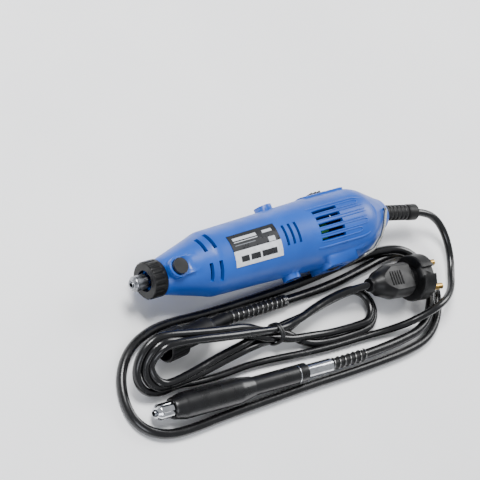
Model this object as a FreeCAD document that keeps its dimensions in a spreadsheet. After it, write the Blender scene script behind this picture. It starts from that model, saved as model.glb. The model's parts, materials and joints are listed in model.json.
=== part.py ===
import FreeCAD, Part
import math
import os

import Sketcher
from FreeCAD import Placement, Rotation, Vector

# A mains rotary tool lying on a bench with its flexible shaft and its
# tied mains cord. Millimetres, +Z up. The tool's axis runs along X, nose towards -X.
# Sub-parts of the tool are drawn along +X from the front face of the nose ring, those of
# the handpiece from the tip of its collet, those of the coupler from its spring end and
# those of the plug from its cord entry. Each gets its Placement from the sheet.

# ------------------------------------------------------------------ driving dimensions
SIZES = [
    # where things lie on the bench
    ("nose_x", -118.6, "front face of the nose ring"),
    ("tool_y", 35.08, "axis of the tool"),
    ("hand_x", -140.6, "tip of the handpiece collet"),
    ("hand_y", -50.42, "tip of the handpiece collet"),
    ("hand_yaw", -2.7, "handpiece axis in plan, degrees"),
    ("coupler_x", -55.6, "spring end of the coupler"),
    ("coupler_y", -3.92, "spring end of the coupler"),
    ("coupler_yaw", 186.1, "coupler axis in plan, degrees"),
    # housing
    ("barrel_r", 26.0, "housing radius over the rear of the motor"),
    ("nose_r", 12.1, "small end of the nose cone"),
    ("tail_r", 13.0, "radius where the tail rounds over"),
    ("tail_end_r", 7.6, "radius of the tail's end face"),
    ("cone_start", 11.3, "front of the nose cone"),
    ("cone_end", 47.0, "where the cone starts to round over"),
    ("shoulder_end", 55.0, "where the shoulder meets the barrel"),
    ("barrel_full", 150.0, "where the barrel reaches its full radius"),
    ("barrel_end", 185.0, "where the barrel starts to close"),
    ("tail_cone", 199.0, "start of the straight part of the tail"),
    ("tail_round", 217.0, "end of the straight part of the tail"),
    ("housing_end", 224.0, "rear face of the housing"),
    ("wall", 2.7, "housing wall"),
    ("gap", 0.3, "clearance between pieces that move or clear each other"),
    ("run_fit", 0.05, "radial clearance of a running or push fit"),
    # nose
    ("spigot_r", 9.0, "threaded spigot under the nose ring"),
    ("spigot_front", 4.0, "front of the spigot"),
    ("ring_r", 13.2, "nose ring"),
    ("ring_length", 11.0, "nose ring"),
    ("ring_lip_r", 7.5, "opening in the front of the nose ring"),
    ("ring_notches", 20.0, "notches round the nose ring"),
    ("bore_r", 6.0, "passage for the spindle"),
    # spindle and motor
    ("shaft_r", 3.0, "spindle at the front bearing"),
    ("shaft_nose_r", 3.5, "spindle in the nose"),
    ("shaft_rear_r", 2.5, "spindle at the rear bearing"),
    ("collet_r", 2.4, "collet body"),
    ("collet_bore_r", 1.6, "largest shank the collet takes"),
    ("collet_nut_r", 5.4, "collet nut"),
    ("bearing_r", 9.5, "front bearing"),
    ("bearing_x", 32.0, "front of the front bearing"),
    ("bearing_w", 6.0, "front bearing"),
    ("rear_bearing_r", 8.0, "rear bearing"),
    ("rear_bearing_x", 131.0, "front of the rear bearing"),
    ("rear_bearing_w", 5.0, "rear bearing"),
    ("fan_x", 47.0, "cooling fan"),
    ("fan_w", 10.0, "cooling fan"),
    ("fan_r", 17.2, "cooling fan"),
    ("core_x", 68.0, "laminated cores"),
    ("core_w", 30.0, "laminated cores"),
    ("armature_r", 12.0, "armature core"),
    ("air_gap", 0.6, "between armature and stator"),
    ("commutator_x", 110.0, "commutator"),
    ("commutator_w", 17.0, "commutator"),
    ("commutator_r", 7.5, "commutator"),
    # spindle lock
    ("button_x", 19.0, "centre of the spindle lock button"),
    ("button_r", 5.7, "spindle lock button"),
    ("boss_r", 6.4, "half width of the boss round the button"),
    ("boss_top", 17.0, "flat top of the boss above the axis"),
    ("boss_end", 35.0, "where the boss runs into the cone"),
    ("button_top", 20.0, "top of the button above the axis"),
    ("button_floor", 7.5, "floor of the button's well"),
    ("button_travel", 2.6, "travel of the button"),
    ("pin_r", 1.6, "lock pin"),
    ("pin_hole_r", 1.75, "hole for the lock pin"),
    ("neck_r", 2.4, "turned neck of the spindle under the lock pin"),
    # openings in the housing
    ("vent_w", 2.6, "width of the front vents"),
    ("vent_one_x", 41.7, "front edge of the first vent"),
    ("vent_two_x", 48.7, "front edge of the second vent"),
    ("vent_inner", 12.0, "start of the front vents from the top, degrees"),
    ("vent_outer", 50.0, "end of the front vents from the top, degrees"),
    ("mid_vent_x", 109.0, "first of the middle vents"),
    ("mid_vent_pitch", 5.6, "pitch of the middle vents"),
    ("mid_vent_w", 2.2, "width of the middle vents"),
    ("louvre_x", 140.5, "front edge of the rear louvres"),
    ("louvre_l", 23.0, "length of the rear louvres"),
    ("louvre_angle", 5.3, "width of a rear louvre, degrees"),
    # brushes
    ("brush_x", 120.0, "axis of the carbon brushes"),
    ("brush_boss_r", 6.6, "boss round a brush holder"),
    ("holder_r", 5.2, "brush holder"),
    ("brush_r", 3.0, "carbon brush"),
    ("brush_l", 10.0, "carbon brush"),
    ("cap_w", 3.0, "brush cap"),
    # control block and switch
    ("block_x", 148.0, "front of the control block"),
    ("block_l", 26.0, "control block"),
    ("block_top", 14.0, "top of the control block above the axis"),
    ("block_low", 12.0, "bottom of the control block below the axis"),
    ("dial_r", 11.5, "speed dial"),
    ("dial_w", 5.6, "speed dial"),
    ("post_r", 1.5, "post of the speed dial"),
    ("pad_x", 153.0, "switch pad"),
    ("pad_l", 36.0, "switch pad"),
    ("pad_angle", 44.0, "switch pad, degrees"),
    ("slider_l", 15.0, "switch slider"),
    ("slider_w", 7.0, "switch slider"),
    ("slider_travel", 4.0, "travel of the switch slider"),
    # name plate
    ("plate_x", 62.0, "front edge of the name plate"),
    ("plate_l", 42.0, "name plate"),
    ("plate_t", 0.4, "name plate"),
    ("plate_angle", 57.0, "name plate, degrees"),
    # hanging bail
    ("wire_r", 1.1, "wire of the bail"),
    ("bail_x", 215.0, "pivot of the bail"),
    ("bail_z", 16.6, "leg of the bail above the axis"),
    # cord gland
    ("gland_r", 5.8, "neck of the strain relief in the housing"),
    ("boot_r", 5.9, "strain relief at the housing"),
    ("boot_end_r", 6.2, "end block of the strain relief"),
    ("boot_l", 34.0, "strain relief outside the housing"),
    ("boot_yaw", -9.0, "strain relief in plan, degrees"),
    ("boot_dip", 5.0, "strain relief below the axis, degrees"),
    # screws
    ("screw_r", 1.5, "housing screw"),
    ("screw_head_r", 2.9, "head of a housing screw"),
    ("screw_head_w", 2.2, "head of a housing screw"),
    ("screw_top", 8.5, "end of a housing screw above the split"),
    ("column_r", 4.2, "column round a housing screw"),
    # flexible shaft
    ("sheath_r", 3.5, "sheath of the flexible shaft"),
    ("spring_out_r", 4.7, "outside of the bend springs"),
    ("spring_in_r", 3.7, "inside of the bend springs"),
    ("core_r", 1.6, "drive tip and inner shaft"),
    # handpiece
    ("hand_r", 9.5, "front shell"),
    ("hand_rear_r", 6.75, "rear shell"),
    ("hand_nose_r", 7.6, "front end of the front shell"),
    ("hand_wall", 1.9, "wall of the shells"),
    ("hand_front", 14.8, "front face of the front shell"),
    ("hand_waist", 71.0, "end of the full radius"),
    ("hand_joint", 84.0, "joint between front and rear shell"),
    ("hand_back", 134.0, "rear face of the rear shell"),
    ("hand_end", 158.2, "rear face of the sleeve"),
    ("sleeve_r", 5.0, "sleeve"),
    ("hand_shaft_r", 2.5, "handpiece spindle"),
    ("hand_bearing_r", 6.5, "handpiece bearings"),
    ("hand_bearing_w", 5.0, "handpiece bearings"),
    ("hand_collet_r", 2.4, "handpiece collet"),
    ("hand_nut_r", 5.75, "handpiece collet nut"),
    # coupler
    ("ferrule_r", 5.0, "sleeve of the coupler"),
    ("ferrule_l", 15.0, "sleeve of the coupler"),
    ("coupler_r", 8.0, "body of the coupler"),
    ("coupler_l", 28.0, "body of the coupler"),
    ("nut_r", 11.0, "coupler nut"),
    ("nut_l", 16.0, "coupler nut"),
    ("nut_neck_r", 6.0, "neck that the nut turns on"),
    ("nut_thread_r", 9.1, "thread in the coupler nut"),
    ("collar_r", 5.0, "collar inside the coupler nut"),
    ("tip_out", 11.4, "drive tip outside the collar"),
    ("tip_root_r", 1.2, "drive tip inside the coupler"),
    # mains cord and plug
    ("cord_r", 2.9, "mains cord"),
    ("hank_t", 6.4, "one layer of turns in the hank"),
    ("hank_two", 11.6, "two layers of turns in the hank"),
    ("tie_t", 1.2, "tie round the hank"),
    ("plug_x", 69.4, "cord entry of the plug"),
    ("plug_y", -12.92, "cord entry of the plug"),
    ("plug_yaw", -5.2, "plug axis in plan, degrees"),
    ("plug_dip", 4.65, "plug axis below the horizontal, degrees"),
    ("plug_rim_r", 17.4, "rim of the plug"),
    ("plug_rim_x", 43.5, "back of the rim"),
    ("plug_l", 55.2, "plug without its pins"),
    ("plug_pin_r", 2.4, "plug pin"),
    ("plug_pin_l", 19.0, "plug pin"),
    ("plug_root_r", 2.0, "plug pin inside the plug"),
    ("plug_pin_pitch", 19.0, "distance between the plug pins"),
]

# Vents of the housing: the start and end of each, in degrees from the top towards +Y.
MID_VENT = (-18.8, 16.5)
LOUVRES = (-25.0, -13.5, -2.0, 10.0, 22.0)
PLATE_EDGE = -32.0
# Screws of the housing: x, y and the height of the head's inner face, from the axis.
SCREWS = (
    (26.0, 9.6, -8.6),
    (26.0, -9.6, -8.6),
    (146.0, 17.5, -13.6),
    (146.0, -17.5, -13.6),
    (194.0, 14.0, -15.0),
    (194.0, -14.0, -15.0),
)

# Points of the cords, from the front of the nose ring on the bench below the tool's axis.
# They stay as chosen.
FLEX_ROUTE = (
    (136.0, -92.9, 9.5),
    (158.0, -93.9, 9.5),
    (184.0, -93.8, 9.0),
    (209.0, -92.6, 8.7),
    (230.0, -90.0, 8.7),
    (243.8, -82.0, 8.7),
    (254.3, -68.0, 8.9),
    (257.7, -53.0, 9.4),
    (255.0, -41.4, 10.2),
    (247.7, -32.0, 11.2),
    (237.0, -26.4, 11.2),
    (224.0, -23.9, 8.8),
    (207.0, -23.4, 4.4),
    (184.0, -25.0, 3.6),
    (161.0, -27.4, 3.6),
    (137.0, -29.0, 3.6),
    (108.0, -29.9, 3.6),
    (74.0, -30.4, 3.6),
    (46.0, -30.2, 3.6),
    (20.0, -28.6, 3.6),
    (0.0, -31.0, 3.6),
    (-17.0, -38.0, 3.6),
    (-29.2, -50.0, 3.6),
    (-35.4, -64.5, 3.6),
    (-36.2, -79.0, 3.6),
    (-31.8, -90.0, 3.6),
    (-22.6, -97.8, 3.6),
    (-10.0, -102.2, 3.6),
    (8.0, -103.2, 3.6),
    (37.0, -102.0, 3.6),
    (76.0, -101.9, 3.6),
    (117.0, -101.5, 3.6),
    (156.0, -102.4, 3.6),
    (189.0, -102.2, 3.6),
    (214.0, -101.4, 3.6),
    (236.0, -98.2, 3.6),
    (251.5, -89.0, 3.6),
    (263.0, -74.0, 3.6),
    (266.5, -57.5, 3.6),
    (263.6, -43.8, 3.6),
    (256.0, -34.0, 3.6),
    (244.5, -28.8, 3.6),
    (229.0, -28.8, 3.6),
    (207.0, -32.2, 3.6),
    (183.0, -35.6, 3.6),
    (160.0, -37.4, 3.6),
    (138.0, -38.0, 4.2),
    (112.0, -38.4, 6.6),
    (87.0, -38.9, 9.4),
    (63.0, -39.0, 11.5),
)
MAINS_ROUTE = (
    (258.6, -5.4, 23.0),
    (269.5, -7.9, 22.2),
    (280.5, -14.2, 18.9),
    (288.8, -23.6, 14.6),
    (292.8, -34.8, 11.0),
    (291.2, -46.6, 8.6),
    (284.8, -57.4, 8.4),
    (274.5, -66.6, 11.6),
    (262.0, -74.0, 17.0),
    (247.5, -78.6, 20.0),
    (233.0, -81.4, 16.2),
    (219.0, -82.4, 9.2),
    (203.0, -82.0, 4.2),
    (183.0, -81.0, 3.0),
    (151.0, -80.4, 3.0),
    (121.0, -78.4, 3.0),
    (96.0, -75.6, 3.0),
    (72.0, -73.8, 3.0),
    (48.0, -74.8, 3.0),
    (26.0, -74.2, 3.6),
    (6.0, -71.5, 6.6),
)
PLUG_ROUTE = (
    (104.0, -58.0, 14.8),
    (121.0, -55.6, 15.2),
    (140.0, -50.8, 15.0),
    (158.0, -47.6, 15.6),
    (173.0, -47.2, 19.6),
    (188.0, -48.0, 22.0),
)

DOC = FreeCAD.newDocument("RotaryTool")
SHEET = DOC.addObject("Spreadsheet::Sheet", "Sizes")


class Size:
    """A number together with the sheet expression that it comes from."""

    def __init__(self, value, text):
        self.value = float(value)
        self.text = text

    def __add__(self, other):
        other = as_size(other)
        return Size(self.value + other.value, f"({self.text} + {other.text})")

    def __sub__(self, other):
        other = as_size(other)
        return Size(self.value - other.value, f"({self.text} - {other.text})")

    def __mul__(self, other):
        other = as_size(other)
        return Size(self.value * other.value, f"({self.text} * {other.text})")

    def __truediv__(self, other):
        other = as_size(other)
        return Size(self.value / other.value, f"({self.text} / {other.text})")

    def __radd__(self, other):
        return as_size(other) + self

    def __rsub__(self, other):
        return as_size(other) - self

    def __rmul__(self, other):
        return as_size(other) * self

    def __neg__(self):
        return Size(-self.value, f"(0 - {self.text})")

    def __float__(self):
        return self.value


class Sheet:
    """Attribute access to the named sizes."""


def as_size(number):
    """A Size, from a Size or a plain number."""
    if isinstance(number, Size):
        return number
    if number < 0:
        return Size(number, f"(0 - {-number})")
    return Size(number, repr(float(number)))


def fill_sheet():
    """Write the driving dimensions into the sheet and return them by name."""
    sizes = Sheet()
    for row, (alias, value, note) in enumerate(SIZES, start=1):
        SHEET.set(f"A{row}", alias)
        SHEET.set(f"B{row}", repr(float(value)))
        SHEET.set(f"C{row}", note)
        SHEET.setAlias(f"B{row}", alias)
        setattr(sizes, alias, Size(value, f"Sizes.{alias}"))
    return sizes


S = fill_sheet()
DOC.recompute()

# Sizes that follow another size, so that a fatter or thinner tool still fits together.
S.front_r = S.barrel_r - 2.7
S.stator_r = S.barrel_r - 5.4
S.pad_r = S.barrel_r + 1.2
S.dial_y = S.barrel_r - 7.6
S.block_y = S.barrel_r + 3.0
S.brush_boss_y = S.barrel_r + 2.4
S.plug_z = S.plug_rim_r + 4.6


# ------------------------------------------------------------------ building blocks
def bind(item, path, size):
    """Tie one property of an object to the sheet."""
    if isinstance(size, Size) and "Sizes." in size.text:
        item.setExpression(path, size.text)
    else:
        setattr(item, path, float(size))


def put(item, x=0.0, y=0.0, z=0.0, turn=None):
    """Place an object: its turn is given, and its base follows the sheet."""
    place = Placement(Vector(float(x), float(y), float(z)), turn or Rotation())
    item.Placement = place
    for axis, size in (("x", x), ("y", y), ("z", z)):
        if isinstance(size, Size) and "Sizes." in size.text:
            item.setExpression(f"Placement.Base.{axis}", size.text)
    return item


def plane(body, role):
    """One of the body's own origin planes or axes."""
    for feature in body.Origin.OriginFeatures:
        if feature.Role == role:
            return feature
    raise ValueError(role)


def arc_centre(start, end, radius):
    """Centre of the arc that bulges away from the axis between two points."""
    half = (end - start) * 0.5
    height = math.sqrt(radius**2 - half.Length**2)
    side = Vector(-half.y, half.x, 0).normalize()
    if side.y > 0:
        side = side * -1
    return start + half + side * height


def add_sketch(body, role, tilt=0.0, lift=0.0):
    """An empty sketch on one of the body's origin planes, turned about the plane's own X."""
    sketch = body.newObject("Sketcher::SketchObject", "Profile")
    sketch.AttachmentSupport = [(plane(body, role), "")]
    sketch.MapMode = "FlatFace"
    sketch.AttachmentOffset = Placement(
        Vector(0, 0, float(lift)), Rotation(Vector(1, 0, 0), tilt)
    )
    if isinstance(lift, Size) and "Sizes." in lift.text:
        sketch.setExpression("AttachmentOffset.Base.z", lift.text)
    return sketch


def draw(sketch, points):
    """Close a profile through the points, each held by the sheet.

    A point is (x, y), or (x, y, radius) where an arc leads to it.
    """
    spots = [Vector(float(p[0]), float(p[1]), 0) for p in points]
    edges = []
    for i, point in enumerate(points):
        start = spots[i - 1]
        end = spots[i]
        if len(point) == 2:
            edges.append((sketch.addGeometry(Part.LineSegment(start, end)), 1, 2))
            continue
        radius = float(point[2])
        centre = arc_centre(start, end, radius)
        circle = Part.Circle(centre, Vector(0, 0, 1), radius)
        first = math.atan2(end.y - centre.y, end.x - centre.x)
        last = math.atan2(start.y - centre.y, start.x - centre.x)
        edges.append((sketch.addGeometry(Part.ArcOfCircle(circle, first, last)), 2, 1))
    for i, point in enumerate(points):
        edge, _, tail = edges[i]
        following, head, _ = edges[(i + 1) % len(edges)]
        sketch.addConstraint(
            Sketcher.Constraint("Coincident", edge, tail, following, head)
        )
        for kind, axis, size in (
            ("DistanceX", -2, point[0]),
            ("DistanceY", -1, point[1]),
        ):
            if float(size) == 0.0:
                sketch.addConstraint(
                    Sketcher.Constraint("PointOnObject", edge, tail, axis)
                )
                continue
            index = sketch.addConstraint(
                Sketcher.Constraint(kind, -1, 1, edge, tail, float(size))
            )
            if isinstance(size, Size) and "Sizes." in size.text:
                sketch.setExpression(f"Constraints[{index}]", size.text)
        if len(point) == 3:
            index = sketch.addConstraint(
                Sketcher.Constraint("Radius", edge, float(point[2]))
            )
            if isinstance(point[2], Size) and "Sizes." in point[2].text:
                sketch.setExpression(f"Constraints[{index}]", point[2].text)
    return sketch


def new_body(label):
    """An empty PartDesign body."""
    body = DOC.addObject("PartDesign::Body", "Body")
    body.Label = label
    return body


def turned(label, points, angle=360.0, tilt=0.0):
    """A body turned about the X axis from a closed profile of (x, radius) points."""
    body = new_body(label)
    sketch = draw(add_sketch(body, "XY_Plane", tilt), points)
    feature = body.newObject("PartDesign::Revolution", "Turned")
    feature.Profile = sketch
    feature.ReferenceAxis = (sketch, ["H_Axis"])
    bind(feature, "Angle", angle)
    sketch.Visibility = False
    return body


def ring(label, x, length, outer, inner):
    """A plain ring or tube on the X axis."""
    end = x + length
    return turned(label, [(x, inner), (end, inner), (end, outer), (x, outer)])


def round_pockets(body, x, length, pitch_r, hole_r, count):
    """Cut round pockets along X, evenly spaced on a circle round the axis."""
    DOC.recompute()
    before = body.Shape.Volume
    sketch = add_sketch(body, "YZ_Plane", lift=x + length)
    hole = sketch.addGeometry(
        Part.Circle(Vector(float(pitch_r), 0, 0), Vector(0, 0, 1), float(hole_r))
    )
    sketch.addConstraint(Sketcher.Constraint("PointOnObject", hole, 3, -1))
    across = sketch.addConstraint(
        Sketcher.Constraint("DistanceX", -1, 1, hole, 3, float(pitch_r))
    )
    wide = sketch.addConstraint(Sketcher.Constraint("Radius", hole, float(hole_r)))
    for index, size in ((across, pitch_r), (wide, hole_r)):
        if isinstance(size, Size):
            sketch.setExpression(f"Constraints[{index}]", size.text)
    pocket = body.newObject("PartDesign::Pocket", "Notch")
    pocket.Profile = sketch
    bind(pocket, "Length", length)
    DOC.recompute()
    pattern = body.newObject("PartDesign::PolarPattern", "Notches")
    pattern.Originals = [pocket]
    pattern.Axis = (plane(body, "X_Axis"), [""])
    pattern.Angle = 360
    pattern.Occurrences = int(round(float(count)))
    body.Tip = pattern
    sketch.Visibility = False
    DOC.recompute()
    if body.Shape.Volume >= before:
        raise RuntimeError(f"{body.Label}: the pockets cut nothing")
    return body


def cylinder(radius, length, x=0.0, y=0.0, z=0.0, turn=None):
    """A cylinder that starts at the point; unturned it stands along +Z."""
    item = DOC.addObject("Part::Cylinder", "Round")
    bind(item, "Radius", radius)
    bind(item, "Height", length)
    return put(item, x, y, z, turn)


ALONG_X = Rotation(Vector(0, 1, 0), 90)
ALONG_Y = Rotation(Vector(1, 0, 0), -90)
AGAINST_Y = Rotation(Vector(1, 0, 0), 90)


def block(x, y, z, length, width, height):
    """A box from its low corner."""
    item = DOC.addObject("Part::Box", "Block")
    bind(item, "Length", length)
    bind(item, "Width", width)
    bind(item, "Height", height)
    return put(item, x, y, z)


def sector(x, length, radius, start, end):
    """A sector of a disc on the X axis, between two angles from the top towards +Y."""
    item = DOC.addObject("Part::Cylinder", "Sector")
    bind(item, "Radius", radius)
    bind(item, "Height", length)
    item.Angle = float(end) - float(start)
    lay_down = Rotation(Vector(1, 1, 1), 120)
    turn = Rotation(Vector(1, 0, 0), 90.0 - float(end)) * lay_down
    return put(item, x, 0.0, 0.0, turn)


def cut(label, base, tools):
    """One object less several others."""
    tool = tools[0] if len(tools) == 1 else fuse("Cutters", tools)
    item = DOC.addObject("Part::Cut", "Cut")
    item.Base = base
    item.Tool = tool
    item.Label = label
    return item


def fuse(label, parts):
    """Several objects joined into one."""
    item = DOC.addObject("Part::MultiFuse", "Joined")
    item.Shapes = parts
    item.Label = label
    return item


def group(label, parts):
    """Identical pieces kept as separate solids in one node."""
    item = DOC.addObject("Part::Compound", "Group")
    item.Links = parts
    item.Label = label
    return item


def common(label, first, second):
    """What two objects share."""
    item = DOC.addObject("Part::MultiCommon", "Shared")
    item.Shapes = [first, second]
    item.Label = label
    return item


def shaped(label, shape):
    """A feature that holds a shape made here from the sheet's sizes."""
    item = DOC.addObject("Part::Feature", "Shaped")
    item.Shape = shape
    item.Label = label
    return item


NODES = []


def node(item, x=0.0, y=0.0, z=0.0, turn=None):
    """Place a finished sub-part and list it for writing."""
    NODES.append(put(item, x, y, z, turn))
    return item


def on_tool(item):
    """Place a sub-part drawn on the tool's axis."""
    return node(item, S.nose_x, S.tool_y, S.barrel_r)


def on_bench(item):
    """Place a sub-part drawn from the bench point below the front of the nose ring."""
    return node(item, S.nose_x, S.tool_y)


def on_handpiece(item):
    """Place a sub-part drawn on the handpiece's axis."""
    turn = Rotation(Vector(0, 0, 1), float(S.hand_yaw))
    return node(item, S.hand_x, S.hand_y, S.hand_r, turn)


def on_coupler(item):
    """Place a sub-part drawn on the coupler's axis."""
    turn = Rotation(Vector(0, 0, 1), float(S.coupler_yaw))
    return node(item, S.coupler_x, S.coupler_y, S.nut_r + 0.5, turn)


def on_plug(item):
    """Place a sub-part drawn on the plug's axis."""
    yaw = Rotation(Vector(0, 0, 1), float(S.plug_yaw))
    dip = Rotation(Vector(0, 1, 0), float(S.plug_dip))
    return node(item, S.plug_x, S.plug_y, S.plug_z, yaw * dip)


# ------------------------------------------------------------------ housing
def housing_outside():
    """The closed outer form of the two halves, with its bosses, block and pad."""
    form = turned(
        "housing_form",
        [
            (S.spigot_front, 0.0),
            (S.spigot_front, S.spigot_r),
            (S.cone_start, S.spigot_r),
            (S.cone_start, S.nose_r),
            (S.cone_end, S.front_r - 1.6),
            (S.shoulder_end, S.front_r, 18.0),
            (S.barrel_full, S.barrel_r),
            (S.barrel_end, S.barrel_r),
            (S.tail_cone, S.barrel_r - 3.5, 30.0),
            (S.tail_round, S.tail_r),
            (S.housing_end, S.tail_end_r, 12.0),
            (S.housing_end, 0.0),
        ],
    )
    boss = cylinder(S.boss_r, S.boss_top, S.button_x)
    ramp = block(
        S.button_x, -S.boss_r, 0.0, S.boss_end - S.button_x, S.boss_r * 2, S.boss_top
    )
    left = cylinder(S.brush_boss_r, S.brush_boss_y, S.brush_x, turn=ALONG_Y)
    right = cylinder(S.brush_boss_r, S.brush_boss_y, S.brush_x, turn=AGAINST_Y)
    control = block(
        S.block_x,
        -S.block_y,
        -S.block_low,
        S.block_l,
        S.block_y - 12.0,
        S.block_low + S.block_top,
    )
    pad = sector(
        S.pad_x, S.pad_l, S.pad_r, 90 - S.pad_angle / 2, 90 + S.pad_angle / 2
    )
    return fuse("housing_outside", [form, boss, ramp, left, right, control, pad])


def housing_inside():
    """The closed form of the space inside the housing."""
    end_web = S.rear_bearing_x + S.rear_bearing_w + S.gap
    return turned(
        "housing_space",
        [
            (0.0, 0.0),
            (0.0, S.bore_r),
            (S.bearing_x, S.bore_r),
            (S.bearing_x, S.bearing_r),
            (S.bearing_x + S.bearing_w, S.bearing_r),
            (S.bearing_x + S.bearing_w, S.front_r - 7.9),
            (S.cone_end, S.front_r - 1.6 - S.wall),
            (S.shoulder_end + 1.0, S.stator_r),
            (S.core_x + S.core_w, S.stator_r),
            (S.core_x + S.core_w + 2.0, S.barrel_r - S.wall - 0.6),
            (S.rear_bearing_x - 1.0, S.barrel_r - S.wall - 0.2),
            (S.rear_bearing_x - 1.0, S.rear_bearing_r),
            (end_web, S.rear_bearing_r),
            (end_web, S.rear_bearing_r - 3.0),
            (end_web + 2.0, S.rear_bearing_r - 3.0),
            (end_web + 2.0, S.barrel_r - S.wall),
            (S.barrel_end, S.barrel_r - S.wall),
            (S.tail_cone, S.barrel_r - 3.5 - S.wall),
            (S.tail_round, S.tail_r - S.wall),
            (S.tail_round, S.gland_r),
            (S.housing_end + 2.0, S.gland_r),
            (S.housing_end + 2.0, 0.0),
        ],
    )


def housing_openings():
    """Cutters for the vents, the button's well, the brushes, the dial and the switch."""
    reach = S.barrel_r + 6.0
    cutters = []
    for x in (S.vent_one_x, S.vent_two_x):
        cutters.append(sector(x, S.vent_w, reach, S.vent_inner, S.vent_outer))
        cutters.append(sector(x, S.vent_w, reach, -S.vent_outer, -S.vent_inner))
    for i in range(3):
        x = S.mid_vent_x + S.mid_vent_pitch * i
        cutters.append(sector(x, S.mid_vent_w, reach, *MID_VENT))
    for middle in LOUVRES:
        half = S.louvre_angle / 2
        cutters.append(
            sector(S.louvre_x, S.louvre_l, reach, middle - half, middle + half)
        )
    cutters.append(
        cylinder(S.button_r + S.gap, S.boss_top, S.button_x, 0.0, S.button_floor)
    )
    cutters.append(cylinder(S.pin_hole_r, S.boss_top, S.button_x))
    cutters.append(cylinder(S.holder_r, S.brush_boss_y + 1, S.brush_x, turn=ALONG_Y))
    cutters.append(cylinder(S.holder_r, S.brush_boss_y + 1, S.brush_x, turn=AGAINST_Y))
    half_dial = S.dial_r + S.gap * 3
    dial_x = S.block_x + S.block_l / 2
    gap_w = S.dial_w + S.gap * 2
    cutters.append(
        block(
            dial_x - half_dial,
            -(S.block_y - 2.2),
            -(gap_w / 2),
            half_dial * 2,
            S.block_y - 12.0,
            gap_w,
        )
    )
    cutters.append(
        block(
            dial_x - S.dial_r * 0.7,
            -(S.block_y + 1.0),
            -(gap_w / 2),
            S.dial_r * 1.4,
            8.0,
            gap_w,
        )
    )
    cutters.append(
        block(
            S.pad_x + S.pad_l / 2 - S.slider_l / 2 - S.slider_travel / 2 - S.gap,
            S.barrel_r - S.wall - 3.0,
            -(S.slider_w / 2) - S.gap,
            S.slider_l + S.slider_travel + S.gap * 2,
            9.0,
            S.slider_w + S.gap * 2,
        )
    )
    cutters.append(
        cylinder(S.wire_r + S.run_fit, S.bail_z * 2, S.bail_x, 0.0, -S.bail_z)
    )
    return cutters


def columns(upper):
    """Screw columns of one half, from the split to the wall."""
    parts = []
    for x, y, _ in SCREWS[2:]:
        low = 0.0 if upper else -16.0
        parts.append(cylinder(S.column_r, 16.0, x, y, low))
    return parts


def half_space(upper):
    """Everything above or below the split between the two halves."""
    low = 0.0 if upper else -60.0
    return block(-5.0, -60.0, low, 300.0, 120.0, 60.0)


def screw_holes():
    """Cutters for the shanks and the sunk heads of the housing screws."""
    cutters = []
    for x, y, head in SCREWS:
        shank = S.screw_top + 0.5 - head
        cutters.append(cylinder(S.screw_r + S.run_fit, shank, x, y, head))
        cutters.append(cylinder(S.screw_head_r + S.gap, 20.0, x, y, head - 20.0))
    return cutters


OUTSIDE = housing_outside()
HOLLOW = cut("housing_hollow", OUTSIDE, [housing_inside()])
for is_upper, label in ((True, "housing_upper"), (False, "housing_lower")):
    with_columns = fuse(
        label + "_columns",
        [HOLLOW] + [common("column", OUTSIDE, c) for c in columns(is_upper)],
    )
    opened = cut(label + "_opened", with_columns, housing_openings() + screw_holes())
    on_tool(common(label, opened, half_space(is_upper)))


def housing_screws():
    """Six screws that hold the halves together from below."""
    parts = []
    for x, y, head in SCREWS:
        shank = cylinder(S.screw_r, S.screw_top - head, x, y, head)
        cap = cylinder(S.screw_head_r, S.screw_head_w, x, y, head - S.screw_head_w)
        slot = block(
            x - 2.0, y - 0.4, head - S.screw_head_w, 4.0, 0.8, S.screw_head_w / 2
        )
        across = block(
            x - 0.4, y - 2.0, head - S.screw_head_w, 0.8, 4.0, S.screw_head_w / 2
        )
        parts.append(cut("screw", fuse("screw_body", [shank, cap]), [slot, across]))
    return group("housing_screws", parts)


on_tool(housing_screws())


def name_plate():
    """A thin plate that follows the barrel's taper."""
    slope = (S.barrel_r - S.front_r) / (S.barrel_full - S.shoulder_end)
    end = S.plate_x + S.plate_l
    low = S.front_r + slope * (S.plate_x - S.shoulder_end)
    high = S.front_r + slope * (end - S.shoulder_end)
    start = 90.0 - (PLATE_EDGE + float(S.plate_angle))
    return turned(
        "name_plate",
        [(S.plate_x, low), (end, high), (end, high + S.plate_t), (S.plate_x, low + S.plate_t)],
        angle=S.plate_angle,
        tilt=start,
    )


on_tool(name_plate())


# ------------------------------------------------------------------ nose and spindle lock
def nose_ring():
    """The notched ring that screws over the nose."""
    body = turned(
        "nose_ring",
        [
            (0.0, S.ring_lip_r),
            (S.spigot_front - S.gap, S.ring_lip_r),
            (S.spigot_front - S.gap, S.spigot_r + S.run_fit),
            (S.ring_length, S.spigot_r + S.run_fit),
            (S.ring_length, S.ring_r - 0.6),
            (S.ring_length - 0.8, S.ring_r),
            (1.0, S.ring_r),
            (0.0, S.ring_r - 1.0),
        ],
    )
    return round_pockets(
        body, -1.0, S.ring_length - 2.0, S.ring_r + 0.7, 1.3, S.ring_notches
    )


on_tool(nose_ring())

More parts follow.
